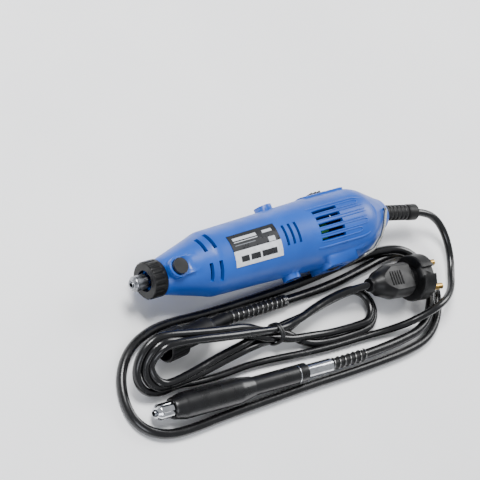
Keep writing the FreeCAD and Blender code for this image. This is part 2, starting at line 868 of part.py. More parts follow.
on_tool(
    fuse(
        "lock_button",
        [
            cylinder(
                S.button_r,
                S.button_top - S.boss_top + S.button_travel + 1.0,
                S.button_x,
                0.0,
                S.boss_top - S.button_travel - 1.0,
            ),
        ]
        + [
            cylinder(1.9, 2.0, S.button_x, 0.0, S.boss_top - S.button_travel - 3.0),
        ],
    )
)
PIN_LOW = S.neck_r + S.button_travel + 0.4
on_tool(
    group(
        "lock_pin",
        [
            cylinder(
                S.pin_r,
                S.boss_top - S.button_travel - 3.0 - PIN_LOW,
                S.button_x,
                0.0,
                PIN_LOW,
            )
        ],
    )
)
on_tool(
    cut(
        "lock_spring",
        cylinder(
            3.4,
            S.boss_top - S.button_travel - 1.0 - S.button_floor,
            S.button_x,
            0.0,
            S.button_floor,
        ),
        [cylinder(2.5, S.boss_top, S.button_x, 0.0, S.button_floor - 1.0)],
    )
)

# ------------------------------------------------------------------ spindle and motor
on_tool(
    turned(
        "spindle",
        [
            (-6.4, S.collet_r + S.run_fit),
            (-6.4, S.shaft_nose_r),
            (S.button_x - 2.4, S.shaft_nose_r),
            (S.button_x - 2.4, S.neck_r),
            (S.button_x + 2.4, S.neck_r),
            (S.button_x + 2.4, S.shaft_nose_r),
            (S.bearing_x - 0.5, S.shaft_nose_r + 0.5),
            (S.bearing_x - 0.5, S.shaft_r),
            (S.bearing_x + S.bearing_w + 0.5, S.shaft_r),
            (S.bearing_x + S.bearing_w + 0.5, S.shaft_r + 1.0),
            (S.rear_bearing_x - 0.5, S.shaft_r + 1.0),
            (S.rear_bearing_x - 0.5, S.shaft_rear_r),
            (S.rear_bearing_x + S.rear_bearing_w + 1.5, S.shaft_rear_r),
            (S.rear_bearing_x + S.rear_bearing_w + 1.5, 0.0),
            (7.0, 0.0),
            (7.0, S.collet_r + S.run_fit),
        ],
    )
)
on_tool(
    turned(
        "collet",
        [
            (-11.6, S.collet_bore_r),
            (6.4, S.collet_bore_r),
            (6.4, S.collet_r),
            (-10.4, S.collet_r),
            (-11.6, S.collet_r - 0.4),
        ],
    )
)
on_tool(
    round_pockets(
        turned(
            "collet_nut",
            [
                (-11.0, S.collet_r + S.run_fit),
                (-7.0, S.collet_r + S.run_fit),
                (-7.0, S.shaft_nose_r + S.run_fit),
                (-0.6, S.shaft_nose_r + S.run_fit),
                (-0.6, S.collet_nut_r),
                (-9.0, S.collet_nut_r),
                (-11.0, S.collet_nut_r - 1.8),
            ],
        ),
        -8.0,
        8.5,
        S.collet_nut_r + 0.9,
        1.4,
        6,
    )
)
on_tool(
    ring("front_bearing", S.bearing_x, S.bearing_w, S.bearing_r, S.shaft_r + S.run_fit)
)
on_tool(
    ring(
        "rear_bearing",
        S.rear_bearing_x,
        S.rear_bearing_w,
        S.rear_bearing_r,
        S.shaft_rear_r + S.run_fit,
    )
)


def cooling_fan():
    """A backplate with nine straight blades."""
    plate = ring("fan_plate", S.fan_x + S.fan_w - 1.4, 1.4, S.fan_r, S.shaft_r + 1.0)
    hub = ring("fan_hub", S.fan_x, S.fan_w, S.shaft_r + 3.0, S.shaft_r + 1.0)
    parts = [plate, hub]
    for i in range(9):
        blade = block(0.0, 0.0, 0.0, S.fan_w, 1.2, S.fan_r - S.shaft_r - 2.0)
        turn = Rotation(Vector(1, 0, 0), 40.0 * i)
        offset = turn.multVec(Vector(0, -0.6, float(S.shaft_r) + 1.6))
        put(blade, S.fan_x, offset.y, offset.z, turn)
        parts.append(blade)
    return fuse("cooling_fan", parts)


on_tool(cooling_fan())
on_tool(
    round_pockets(
        ring("armature_core", S.core_x, S.core_w, S.armature_r, S.shaft_r + 1.0),
        S.core_x - 1.0,
        S.core_w + 2.0,
        S.armature_r - 1.6,
        1.2,
        12,
    )
)
on_tool(
    group(
        "armature_windings",
        [
            turned(
                "front_winding",
                [
                    (S.core_x - 6.5, S.shaft_r + 1.0),
                    (S.core_x, S.shaft_r + 1.0),
                    (S.core_x, S.armature_r - 0.6),
                    (S.core_x - 4.0, S.armature_r - 1.4),
                    (S.core_x - 6.5, S.armature_r - 5.0),
                ],
            ),
            turned(
                "rear_winding",
                [
                    (S.core_x + S.core_w, S.shaft_r + 1.0),
                    (S.commutator_x, S.shaft_r + 1.0),
                    (S.commutator_x, S.commutator_r - 1.0),
                    (S.core_x + S.core_w + 4.0, S.armature_r - 1.4),
                    (S.core_x + S.core_w, S.armature_r - 0.6),
                ],
            ),
        ],
    )
)
on_tool(
    ring(
        "commutator",
        S.commutator_x,
        S.commutator_w,
        S.commutator_r,
        S.shaft_r + 1.0,
    )
)
STATOR_BORE = S.armature_r + S.air_gap
on_tool(
    cut(
        "stator_core",
        ring("stator_ring", S.core_x, S.core_w, S.stator_r, STATOR_BORE),
        [
            block(S.core_x - 1, 13.5, -7.0, S.core_w + 2, 4.2, 14.0),
            block(S.core_x - 1, -17.7, -7.0, S.core_w + 2, 4.2, 14.0),
        ],
    )
)


def field_coils():
    """The coil ends at both faces of the stator, above and below the armature."""
    parts = []
    for x in (S.core_x - 5.0, S.core_x + S.core_w):
        for start in (-55.0, 125.0):
            outer = sector(x, 5.0, S.stator_r - 1.2, start, start + 110.0)
            inner = cylinder(
                STATOR_BORE + 0.6, 7.0, x - 1.0, 0.0, 0.0, ALONG_X
            )
            parts.append(cut("coil", outer, [inner]))
    return group("field_coils", parts)


on_tool(field_coils())


# ------------------------------------------------------------------ brushes
def both_sides(label, make):
    """A pair of pieces on +Y and -Y at the brush axis."""
    return group(label, [make(ALONG_Y, 1), make(AGAINST_Y, -1)])


def brush_holder(turn, side):
    """A tube with a square-shouldered outer end."""
    start = S.commutator_r + 1.2
    length = S.brush_boss_y - S.cap_w - start
    outer = cylinder(S.holder_r, length, S.brush_x, start * side, 0.0, turn)
    bore = cylinder(
        S.brush_r + S.run_fit, length + 2, S.brush_x, (start - 1) * side, 0.0, turn
    )
    return cut("holder", outer, [bore])


def carbon_brush(turn, side):
    """A round carbon brush that bears on the commutator."""
    start = S.commutator_r + S.run_fit
    return cylinder(S.brush_r, S.brush_l, S.brush_x, start * side, 0.0, turn)


def brush_spring(turn, side):
    """The space that the brush spring takes between brush and cap."""
    start = S.commutator_r + S.run_fit + S.brush_l
    length = S.brush_boss_y - S.cap_w - start
    outer = cylinder(S.brush_r - 0.2, length, S.brush_x, start * side, 0.0, turn)
    bore = cylinder(
        S.brush_r - 0.9, length + 2, S.brush_x, (start - 1) * side, 0.0, turn
    )
    return cut("spring", outer, [bore])


def brush_cap(turn, side):
    """A slotted cap that closes the holder."""
    start = S.brush_boss_y - S.cap_w
    body = cylinder(S.holder_r, S.cap_w - 0.4, S.brush_x, start * side, 0.0, turn)
    low = S.brush_boss_y - 1.4
    slot = block(
        S.brush_x - 4.0,
        low if side > 0 else -(S.brush_boss_y + 0.6),
        -0.6,
        8.0,
        2.0,
        1.2,
    )
    return cut("cap", body, [slot])


on_tool(both_sides("brush_holders", brush_holder))
on_tool(both_sides("carbon_brushes", carbon_brush))
on_tool(both_sides("brush_springs", brush_spring))
on_tool(both_sides("brush_caps", brush_cap))

# ------------------------------------------------------------------ controls
DIAL_X = S.block_x + S.block_l / 2
on_tool(
    cut(
        "speed_dial",
        cylinder(S.dial_r, S.dial_w, DIAL_X, -S.dial_y, -(S.dial_w / 2)),
        [cylinder(S.post_r + S.run_fit, 20.0, DIAL_X, -S.dial_y, -10.0)],
    )
)


def speed_board():
    """The control board with the dial's post on it and a bridge over the post."""
    base_z = -(S.dial_w / 2) - S.gap - 3.0
    board = block(DIAL_X - 10.5, -20.0, base_z - 1.6, 21.0, 28.0, 1.6)
    pot = block(DIAL_X - 5.0, -20.0, base_z, 10.0, 8.0, 3.0)
    post = cylinder(S.post_r, S.dial_w + S.gap * 2 + 3.0, DIAL_X, -S.dial_y, base_z)
    sink = block(DIAL_X - 9.0, -2.0, base_z, 18.0, 8.0, 6.0)
    return fuse("speed_board", [board, pot, post, sink])


on_tool(speed_board())

SLIDER_X = S.pad_x + S.pad_l / 2
SLIDER_START = SLIDER_X - S.slider_l / 2 - S.slider_travel / 2
on_tool(
    fuse(
        "switch_slider",
        [
            block(
                SLIDER_START,
                S.barrel_r - S.wall - 1.6,
                -(S.slider_w / 2),
                S.slider_l,
                S.pad_r - S.barrel_r + S.wall + 1.6,
                S.slider_w,
            ),
            block(
                SLIDER_START + 3.0,
                S.pad_r - 0.4,
                -(S.slider_w / 2),
                1.4,
                1.6,
                S.slider_w,
            ),
            block(
                SLIDER_START + 6.8,
                S.pad_r - 0.4,
                -(S.slider_w / 2),
                1.4,
                1.6,
                S.slider_w,
            ),
            block(
                SLIDER_START + 10.6,
                S.pad_r - 0.4,
                -(S.slider_w / 2),
                1.4,
                1.6,
                S.slider_w,
            ),
        ],
    )
)
on_tool(
    group(
        "power_switch",
        [
            block(
                SLIDER_X - 11.0,
                10.5,
                -6.0,
                22.0,
                S.barrel_r - S.wall - 1.6 - S.gap - 10.5,
                12.0,
            )
        ],
    )
)


# ------------------------------------------------------------------ cord gland and boot
def strain_relief_boot():
    """A ribbed boot on a neck that the housing clamps."""
    neck = cylinder(
        S.gland_r,
        S.housing_end - S.tail_round + 2.0,
        S.tail_round,
        0.0,
        0.0,
        ALONG_X,
    )
    flange = cylinder(S.gland_r + 2.0, 2.0, S.tail_round - 2.0, 0.0, 0.0, ALONG_X)
    points = [(0.0, 0.0), (0.0, S.boot_r)]
    ribs = 6
    rib = (S.boot_l - 10.0) / ribs
    for i in range(ribs):
        points.append((rib * i + rib * 0.62, S.boot_r))
        points.append((rib * i + rib * 0.62, S.boot_r - 1.5))
        points.append((rib * (i + 1), S.boot_r - 1.5))
        points.append((rib * (i + 1), S.boot_r))
    points.append((S.boot_l - 8.0, S.boot_end_r))
    points.append((S.boot_l - 1.0, S.boot_end_r))
    points.append((S.boot_l, S.boot_end_r - 1.0))
    points.append((S.boot_l, 0.0))
    body = turned("boot_body", points)
    turn = Rotation(Vector(0, 0, 1), float(S.boot_yaw)) * Rotation(
        Vector(0, 1, 0), float(S.boot_dip)
    )
    put(body, S.housing_end + 1.2, 0.0, 0.0, turn)
    return fuse("strain_relief_boot", [flange, neck, body])


on_tool(strain_relief_boot())
on_tool(
    cut(
        "cord_clamp",
        block(S.tail_cone - 1.0, -8.0, -7.0, 8.0, 16.0, 5.0),
        [cylinder(S.cord_r, 12.0, S.tail_cone - 3.0, 0.0, 0.0, ALONG_X)],
    )
)


# ------------------------------------------------------------------ rods, tubes and cords
def bends(points):
    """For each inner point: tangent points, middle of the arc and its radius."""
    found = []
    for i in range(1, len(points) - 1):
        back = points[i - 1] - points[i]
        ahead = points[i + 1] - points[i]
        reach = 0.45 * min(back.Length, ahead.Length)
        turn = math.pi - back.getAngle(ahead)
        radius = reach / math.tan(turn / 2)
        inward = (back.normalize() + ahead.normalize()).normalize()
        start = points[i] + back * reach
        end = points[i] + ahead * reach
        middle = points[i] + inward * (reach / math.sin(turn / 2) - radius)
        found.append((start, middle, end, radius))
    return found


def route_edges(points):
    """Straight runs joined by tangent arcs."""
    edges = []
    at = points[0]
    for start, middle, end, _ in bends(points):
        edges.append(Part.LineSegment(at, start).toShape())
        edges.append(Part.Arc(start, middle, end).toShape())
        at = end
    edges.append(Part.LineSegment(at, points[-1]).toShape())
    return edges


def swept(edges, radius, inner=0.0):
    """A round tube or rod along a chain of edges."""
    path = Part.Wire(edges)
    start = edges[0].valueAt(edges[0].FirstParameter)
    along = edges[0].tangentAt(edges[0].FirstParameter)
    circle = Part.Wire([Part.Circle(start, along, radius).toShape()])
    solid = path.makePipeShell([circle], True, False)
    if inner:
        hole = Part.Wire([Part.Circle(start, along, inner).toShape()])
        solid = solid.cut(path.makePipeShell([hole], True, False))
    return solid, path.Length


def report_route(name, points, radius, solid, length):
    """Print a cord's radii and compare its volume with its section times its length."""
    radii = " ".join(f"{b[3]:.0f}" for b in bends(points))
    expected = math.pi * radius**2 * length
    print(f"{name}: length {length:.1f}, volume ratio {solid.Volume / expected:.4f}")
    print(f"{name}: radii {radii}")


def vectors(route):
    """The points of a route."""
    return [Vector(*p) for p in route]


def hanging_bail():
    """A wire loop whose two ends turn in holes in the tail."""
    z = float(S.bail_z)
    inner = float(S.tail_r)
    pivot = float(S.bail_x)
    half = [
        (0.0, 0.0, inner - 1.0),
        (0.0, 0.0, z),
        (-7.5, -11.2, z),
        (-14.5, -18.8, z),
        (-26.5, -26.8, z),
        (-36.7, -28.7, z),
    ]
    points = [Vector(pivot + x, y, height) for x, y, height in half]
    points += [Vector(p.x, p.y, -p.z) for p in reversed(points)]
    edges = []
    at = points[0]
    bend = 2.2
    for i in range(1, len(points) - 1):
        back = (points[i - 1] - points[i]).normalize()
        ahead = (points[i + 1] - points[i]).normalize()
        turn = math.pi - back.getAngle(ahead)
        reach = bend * math.tan(turn / 2) if turn > 0.9 else 3.0
        radius = reach / math.tan(turn / 2)
        inward = (back + ahead).normalize()
        start = points[i] + back * reach
        end = points[i] + ahead * reach
        middle = points[i] + inward * (reach / math.sin(turn / 2) - radius)
        edges.append(Part.LineSegment(at, start).toShape())
        edges.append(Part.Arc(start, middle, end).toShape())
        at = end
    edges.append(Part.LineSegment(at, points[-1]).toShape())
    return shaped("hanging_bail", swept(edges, float(S.wire_r))[0])


on_tool(hanging_bail())

FLEX = vectors(FLEX_ROUTE)
FLEX_EDGES = route_edges(FLEX)
FLEX_SOLID, FLEX_LENGTH = swept(FLEX_EDGES, float(S.sheath_r))
report_route("flex_sheath", FLEX, float(S.sheath_r), FLEX_SOLID, FLEX_LENGTH)
on_bench(shaped("flex_sheath", FLEX_SOLID))

MAINS = vectors(MAINS_ROUTE)
MAINS_SOLID, MAINS_LENGTH = swept(route_edges(MAINS), float(S.cord_r))
report_route("mains_cord_a", MAINS, float(S.cord_r), MAINS_SOLID, MAINS_LENGTH)
on_bench(shaped("mains_cord_a", MAINS_SOLID))

LAST = vectors(PLUG_ROUTE)
LAST_SOLID, LAST_LENGTH = swept(route_edges(LAST), float(S.cord_r))
report_route("mains_cord_b", LAST, float(S.cord_r), LAST_SOLID, LAST_LENGTH)
on_bench(shaped("mains_cord_b", LAST_SOLID))


def belt(centre_a, radius_a, centre_b, radius_b, thickness):
    """A slab whose outline is a belt run round two circles, middle plane at Z = 0."""
    a = Vector(*centre_a, -thickness / 2)
    b = Vector(*centre_b, -thickness / 2)
    apart = b - a
    heading = math.atan2(apart.y, apart.x)
    spread = math.acos((radius_a - radius_b) / apart.Length)

    def on(centre, radius, angle):
        return centre + Vector(math.cos(angle), math.sin(angle), 0) * radius

    upper = heading + spread
    lower = heading - spread
    edges = [
        Part.Arc(
            on(a, radius_a, upper),
            on(a, radius_a, heading + math.pi),
            on(a, radius_a, lower),
        ).toShape(),
        Part.LineSegment(on(a, radius_a, lower), on(b, radius_b, lower)).toShape(),
        Part.Arc(
            on(b, radius_b, lower), on(b, radius_b, heading), on(b, radius_b, upper)
        ).toShape(),
        Part.LineSegment(on(b, radius_b, upper), on(a, radius_a, upper)).toShape(),
    ]
    return Part.Face(Part.Wire(edges)).extrude(Vector(0, 0, thickness))


def mains_hank():
    """The outer shape of the figure-of-eight hank: a tilted loop and a flat loop."""
    one = float(S.hank_t)
    two = float(S.hank_two)
    tilt = 39.0
    left = belt((-8.0, 24.0), 23.8, (95.0, 21.5), 7.0, one)
    left = left.cut(belt((5.0, 22.0), 13.4, (52.0, 21.4), 3.6, one * 3))
    left.rotate(Vector(), Vector(1, 0, 0), tilt)
    left.translate(Vector(0, -75.0, 4.2))
    right = belt((181.5, -59.6), 16.4, (104.0, -60.0), 6.2, two)
    right = right.cut(belt((176.0, -59.0), 6.8, (146.0, -59.4), 2.6, two * 3))
    right.translate(Vector(0, 0, two / 2 + 0.1))
    waist = Part.makeBox(14.0, 12.0, 17.0, Vector(92.0, -65.5, 2.0))
    return left.fuse([right, waist]).removeSplitter()


HANK_SOLID = mains_hank()
on_bench(shaped("mains_hank", HANK_SOLID))


def hank_tie():
    """The band round the waist of the hank."""
    thick = float(S.tie_t)
    outer = Part.makeBox(
        3.6, 13.0 + 2 * thick, 18.0 + 2 * thick, Vector(97.0, -66.0 - thick, 1.5 - thick)
    )
    inner = Part.makeBox(10.0, 13.0, 18.0, Vector(94.0, -66.0, 1.5))
    band = outer.cut(inner)
    return shaped("hank_tie", band.cut(HANK_SOLID).cut(LAST_SOLID))


on_bench(hank_tie())


# ------------------------------------------------------------------ plug
def plug_body():
    """A moulded plug: tapered body, finger groove and a rim flattened on two sides."""
    back = turned(
        "plug_back",
        [
            (0.0, 0.0),
            (0.0, 5.0),
            (3.0, 5.4),
            (9.0, 9.4),
            (20.0, 13.0),
            (S.plug_rim_x - 10.0, 13.0),
            (S.plug_rim_x - 6.0, 13.0),
            (S.plug_rim_x - 4.6, 9.4),
            (S.plug_rim_x, 9.4),
            (S.plug_rim_x, 0.0),
        ],
    )
    rim = turned(
        "plug_rim",
        [
            (S.plug_rim_x, 0.0),
            (S.plug_rim_x, S.plug_rim_r - 1.2),
            (S.plug_rim_x + 1.2, S.plug_rim_r),
            (S.plug_l, S.plug_rim_r),
            (S.plug_l, 0.0),
        ],
    )
    notches = [
        block(S.plug_rim_x - 1, -3.0, S.plug_rim_r - 2.6, 20.0, 6.0, 6.0),
        block(S.plug_rim_x - 1, -3.0, -S.plug_rim_r - 3.4, 20.0, 6.0, 6.0),
        block(-1.0, -15.0, 9.4, S.plug_rim_x - 4.0, 30.0, 8.0),
        block(-1.0, -15.0, -17.4, S.plug_rim_x - 4.0, 30.0, 8.0),
    ]
    flat_back = cut("plug_flat_back", back, notches[2:])
    notched = cut("plug_notched", rim, notches[:2])
    holes = []
    for side in (-1, 1):
        holes.append(
            cylinder(
                S.plug_root_r,
                12.0,
                S.plug_l - 8.0,
                S.plug_pin_pitch / 2 * side,
                0.0,
                ALONG_X,
            )
        )
    return cut("plug_body", fuse("plug_form", [flat_back, notched]), holes)


on_plug(plug_body())


def plug_pins():
    """Two round pins whose thinner roots are seated in the plug."""
    pins = []
    for side in (-1, 1):
        across = S.plug_pin_pitch / 2 * side
        root = cylinder(
            S.plug_root_r,
            9.0,
            S.plug_l - 8.0,
            across,
            0.0,
            ALONG_X,
        )
        pin = cylinder(
            S.plug_pin_r,
            S.plug_pin_l,
            S.plug_l,
            across,
            0.0,
            ALONG_X,
        )
        pins.append(fuse("plug_pin", [root, pin]))
    return group("plug_pins", pins)


on_plug(plug_pins())


# ------------------------------------------------------------------ bend springs
def spring_sleeve(label, edges):
    """The round space that a bend spring takes on the sheath."""
    solid, _ = swept(edges, float(S.spring_out_r), float(S.spring_in_r))
    return shaped(label, solid)


on_bench(spring_sleeve("handpiece_spring", FLEX_EDGES[:2]))
on_bench(spring_sleeve("coupler_spring", FLEX_EDGES[-4:]))

# ------------------------------------------------------------------ handpiece
HAND_BORE = S.hand_rear_r - S.hand_wall
FRONT_SEAT = S.hand_front + 4.0
REAR_SEAT = S.hand_back - 14.0
on_handpiece(
    turned(
        "handpiece_front_shell",
        [
            (S.hand_front, S.hand_shaft_r + 1.0),
            (FRONT_SEAT, S.hand_shaft_r + 1.0),
            (FRONT_SEAT, S.hand_bearing_r),
            (FRONT_SEAT + S.hand_bearing_w, S.hand_bearing_r),
            (FRONT_SEAT + S.hand_bearing_w, S.hand_r - S.hand_wall - 1.3),
            (S.hand_waist, S.hand_r - S.hand_wall - 1.3),
            (S.hand_joint - 6.0, S.hand_rear_r - 0.2),
            (S.hand_joint, S.hand_rear_r - 0.2),
            (S.hand_joint, S.hand_rear_r + 0.8),
            (S.hand_waist, S.hand_r),
            (S.hand_front + 10.0, S.hand_r),
            (S.hand_front + 1.0, S.hand_nose_r),
            (S.hand_front, S.hand_nose_r - 0.8),
        ],
    )
)
on_handpiece(
    turned(
        "handpiece_rear_shell",
        [
            (S.hand_joint - 5.8, HAND_BORE),
            (REAR_SEAT, HAND_BORE),
            (REAR_SEAT, S.hand_bearing_r - 1.5),
            (REAR_SEAT + S.hand_bearing_w, S.hand_bearing_r - 1.5),
            (REAR_SEAT + S.hand_bearing_w, S.hand_shaft_r + 1.0),
            (S.hand_back, S.hand_shaft_r + 1.0),
            (S.hand_back, S.hand_rear_r - 0.5),
            (S.hand_back - 0.5, S.hand_rear_r),
            (S.hand_back - 8.0, S.hand_rear_r),
            (S.hand_back - 8.4, S.hand_rear_r - 0.4),
            (S.hand_back - 9.2, S.hand_rear_r - 0.4),
            (S.hand_back - 9.6, S.hand_rear_r),
            (S.hand_joint, S.hand_rear_r),
            (S.hand_joint, S.hand_rear_r - 0.2),
            (S.hand_joint - 5.8, S.hand_rear_r - 0.2),
        ],
    )
)
on_handpiece(
    turned(
        "handpiece_sleeve",
        [
            (S.hand_back, S.core_r + S.gap),
            (S.hand_end, S.core_r + S.gap),
            (S.hand_end, S.sleeve_r - 0.5),
            (S.hand_end - 0.5, S.sleeve_r),
            (S.hand_back, S.sleeve_r),
        ],
    )
)
on_handpiece(
    group(
        "handpiece_bearings",
        [
            ring(
                "hand_bearing_front",
                FRONT_SEAT,
                S.hand_bearing_w,
                S.hand_bearing_r,
                S.hand_shaft_r + S.run_fit,
            ),
            ring(
                "hand_bearing_rear",
                REAR_SEAT,
                S.hand_bearing_w,
                S.hand_bearing_r - 1.5,
                S.hand_shaft_r + S.run_fit,
            ),
        ],
    )
)
on_handpiece(
    turned(
        "handpiece_spindle",
        [
            (6.0, S.hand_collet_r + S.run_fit),
            (6.0, S.hand_collet_r + 1.2),
            (S.hand_front - 0.6, S.hand_collet_r + 1.2),
            (S.hand_front - 0.6, S.hand_shaft_r),
            (S.hand_back - 4.0, S.hand_shaft_r),
            (S.hand_back - 4.0, S.core_r),
            (S.hand_end - 1.0, S.core_r),
            (S.hand_end - 1.0, 0.0),
            (13.4, 0.0),
            (13.4, S.hand_collet_r + S.run_fit),
        ],
    )
)
on_handpiece(
    turned(
        "handpiece_collet",
        [
            (0.0, S.collet_bore_r),
            (13.0, S.collet_bore_r),
            (13.0, S.hand_collet_r),
            (1.0, S.hand_collet_r),
            (0.0, S.hand_collet_r - 0.4),
        ],
    )
)
on_handpiece(
    round_pockets(
        turned(
            "handpiece_collet_nut",
            [
                (1.6, S.hand_collet_r + S.run_fit),
                (5.6, S.hand_collet_r + S.run_fit),
                (5.6, S.hand_collet_r + 1.2 + S.run_fit),
                (S.hand_front - 0.8, S.hand_collet_r + 1.2 + S.run_fit),
                (S.hand_front - 0.8, S.hand_nut_r),
                (4.2, S.hand_nut_r),
                (1.6, S.hand_nut_r - 1.8),
            ],
        ),
        5.2,
        20.0,
        S.hand_nut_r + 1.6,
        2.0,
        6,
    )
)

# ------------------------------------------------------------------ coupler
BODY_END = S.ferrule_l + S.coupler_l
NUT_BACK = BODY_END + S.gap
NUT_WALL = NUT_BACK + 4.0
NUT_END = NUT_BACK + S.nut_l
COLLAR_END = NUT_END + 5.0
on_coupler(ring("coupler_sleeve", 0.0, S.ferrule_l, S.ferrule_r, S.core_r + S.gap))
on_coupler(
    turned(
        "coupler_body",
        [
            (S.ferrule_l, S.core_r + S.gap),
            (NUT_WALL + 3.0, S.core_r + S.gap),
            (NUT_WALL + 3.0, S.nut_thread_r - 0.6),
            (NUT_WALL + S.gap, S.nut_thread_r - 0.6),
            (NUT_WALL + S.gap, S.nut_neck_r),
            (BODY_END, S.nut_neck_r),
            (BODY_END, S.coupler_r),
            (S.ferrule_l + 4.0, S.coupler_r),
            (S.ferrule_l, S.ferrule_r + 1.2),
        ],
    )
)
on_coupler(
    ring(
        "coupler_collar",
        NUT_WALL + 3.0,
        COLLAR_END - NUT_WALL - 3.0,
        S.collar_r,
        S.core_r + S.run_fit,
    )
)
on_coupler(
    round_pockets(
        turned(
            "coupler_nut",
            [
                (NUT_BACK, S.nut_neck_r + S.run_fit),
                (NUT_WALL, S.nut_neck_r + S.run_fit),
                (NUT_WALL, S.nut_thread_r),
                (NUT_END, S.nut_thread_r),
                (NUT_END, S.nut_r - 0.8),
                (NUT_END - 0.8, S.nut_r),
                (NUT_BACK + 0.8, S.nut_r),
                (NUT_BACK, S.nut_r - 0.8),
            ],
        ),
        NUT_BACK - 1.0,
        S.nut_l + 2.0,
        S.nut_r + 0.5,
        0.9,
        24,
    )
)
on_coupler(
    fuse(
        "drive_tip",
        [
            cylinder(
                S.tip_root_r,
                COLLAR_END,
                1.0,
                0.0,
                0.0,
                ALONG_X,
            ),
            cylinder(
                S.core_r,
                S.tip_out,
                COLLAR_END,
                0.0,
                0.0,
                ALONG_X,
            ),
        ],
    )
)


# ------------------------------------------------------------------ checks and files
def check_document():
    """Stop on any object that failed and on any sub-part without a sound shape."""
    DOC.recompute()
    for item in DOC.Objects:
        if "Invalid" in item.State or "Error" in item.State:
            raise RuntimeError(f"{item.Name} {item.Label}: {item.State}")
    for item in NODES:
        if item.Shape.isNull() or not item.Shape.isValid():
            raise RuntimeError(f"{item.Label} has no sound shape")
        if not item.Shape.Solids:
            raise RuntimeError(f"{item.Label} holds no solid")


check_document()
os.makedirs("parts", exist_ok=True)
for item in NODES:
    item.Shape.exportStep(os.path.join("parts", f"{item.Label}.step"))
print(f"{len(NODES)} nodes written")
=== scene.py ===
"""Rotary tool with a flexible shaft, resting on a bench, with its mains lead tied in a hank.

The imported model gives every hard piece. This script gives the pieces their finishes, lays the two
cords as smooth lines, winds the springs and the tie, and adds the small mouldings on the case.
All lengths are metres in the row frame: the tool's axis is parallel to X at AXIS_Y, AXIS_Z.
"""

import json
import math

import bmesh
import bpy
import numpy as np
from mathutils import Matrix, Vector

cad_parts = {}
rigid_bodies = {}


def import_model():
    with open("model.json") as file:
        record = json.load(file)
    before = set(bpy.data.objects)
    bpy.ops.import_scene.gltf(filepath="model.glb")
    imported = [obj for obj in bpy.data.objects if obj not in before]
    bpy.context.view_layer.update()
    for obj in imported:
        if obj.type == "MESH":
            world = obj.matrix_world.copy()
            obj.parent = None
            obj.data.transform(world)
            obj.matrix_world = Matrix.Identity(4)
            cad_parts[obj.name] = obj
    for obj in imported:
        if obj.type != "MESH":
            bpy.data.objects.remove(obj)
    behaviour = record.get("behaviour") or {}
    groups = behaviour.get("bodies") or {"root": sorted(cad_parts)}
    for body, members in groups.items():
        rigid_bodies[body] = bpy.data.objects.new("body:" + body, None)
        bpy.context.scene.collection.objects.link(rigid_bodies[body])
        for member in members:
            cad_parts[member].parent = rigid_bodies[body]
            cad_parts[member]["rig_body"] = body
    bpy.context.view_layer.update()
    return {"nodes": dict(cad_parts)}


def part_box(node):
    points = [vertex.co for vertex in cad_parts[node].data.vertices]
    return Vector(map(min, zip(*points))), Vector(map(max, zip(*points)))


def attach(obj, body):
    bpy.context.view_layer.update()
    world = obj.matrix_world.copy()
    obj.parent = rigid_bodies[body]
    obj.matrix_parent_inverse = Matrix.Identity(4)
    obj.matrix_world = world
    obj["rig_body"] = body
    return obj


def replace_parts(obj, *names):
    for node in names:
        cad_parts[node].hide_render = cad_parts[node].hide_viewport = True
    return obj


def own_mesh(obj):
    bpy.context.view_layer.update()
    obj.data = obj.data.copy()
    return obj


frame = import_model()

# The bench frame has the nose ring's front at X = 0 and the tool's axis at Y = 0.
BENCH = np.array((-0.1186, 0.03508, 0.0))
AXIS_Y = 0.03508
AXIS_Z = 0.026

# ---------------------------------------------------------------- colour and nodes


def linear(code):
    """An sRGB hex colour such as "2f6cc4" as linear red, green, blue and alpha."""
    parts = [int(code[i : i + 2], 16) / 255 for i in (0, 2, 4)]
    return tuple(p / 12.92 if p <= 0.04045 else ((p + 0.055) / 1.055) ** 2.4 for p in parts) + (1.0,)


def add(material, kind, sockets=None, **settings):
    """Adds one node. settings are its properties; sockets gives its inputs values or other nodes' outputs."""
    made = material.node_tree.nodes.new(kind)
    for key, value in settings.items():
        setattr(made, key, value)
    for key, value in (sockets or {}).items():
        if isinstance(value, bpy.types.NodeSocket):
            material.node_tree.links.new(value, made.inputs[key])
        else:
            made.inputs[key].default_value = value
    return made


def started(name, **shader_values):
    """A new material with its shader and Object coordinates; the values go on the shader's own sockets."""
    material = bpy.data.materials.new(name)
    material.use_nodes = True
    material.node_tree.nodes.clear()
    shader = add(material, "ShaderNodeBsdfPrincipled")
    for key, value in shader_values.items():
        shader.inputs[key.replace("_", " ")].default_value = value
    add(material, "ShaderNodeOutputMaterial", {"Surface": shader.outputs["BSDF"]})
    place = add(material, "ShaderNodeTexCoord").outputs["Object"]
    return material, shader, place


def joined(material, shader, socket, output):
    """Links one output to one of the shader's inputs."""
    material.node_tree.links.new(output, shader.inputs[socket])


def spots(material, place, size, detail=2.0, stretch=(1, 1, 1), roughness=0.5):
    """Noise whose lumps are about size metres across, longer along an axis whose stretch is under 1."""
    moved = add(material, "ShaderNodeMapping", {"Vector": place, "Scale": stretch})
    noise = add(
        material,
        "ShaderNodeTexNoise",
        {"Vector": moved.outputs["Vector"], "Scale": 1 / size, "Detail": detail, "Roughness": roughness},
    )
    return noise.outputs["Fac"]


def spread(material, fac, low, high):
    """Takes a 0 to 1 pattern, most of which is near its middle, to low..high."""
    ranged = add(
        material,
        "ShaderNodeMapRange",
        {"Value": fac, "From Min": 0.3, "From Max": 0.7, "To Min": low, "To Max": high},
    )
    return ranged.outputs["Result"]


def two_tones(material, fac, first, second):
    """A ramp from one hex colour to another over the middle of the pattern."""
    ramp = add(material, "ShaderNodeValToRGB", {"Fac": fac})
    ramp.color_ramp.elements[0].position = 0.3
    ramp.color_ramp.elements[0].color = linear(first)
    ramp.color_ramp.elements[1].position = 0.7
    ramp.color_ramp.elements[1].color = linear(second)
    return ramp.outputs["Color"]


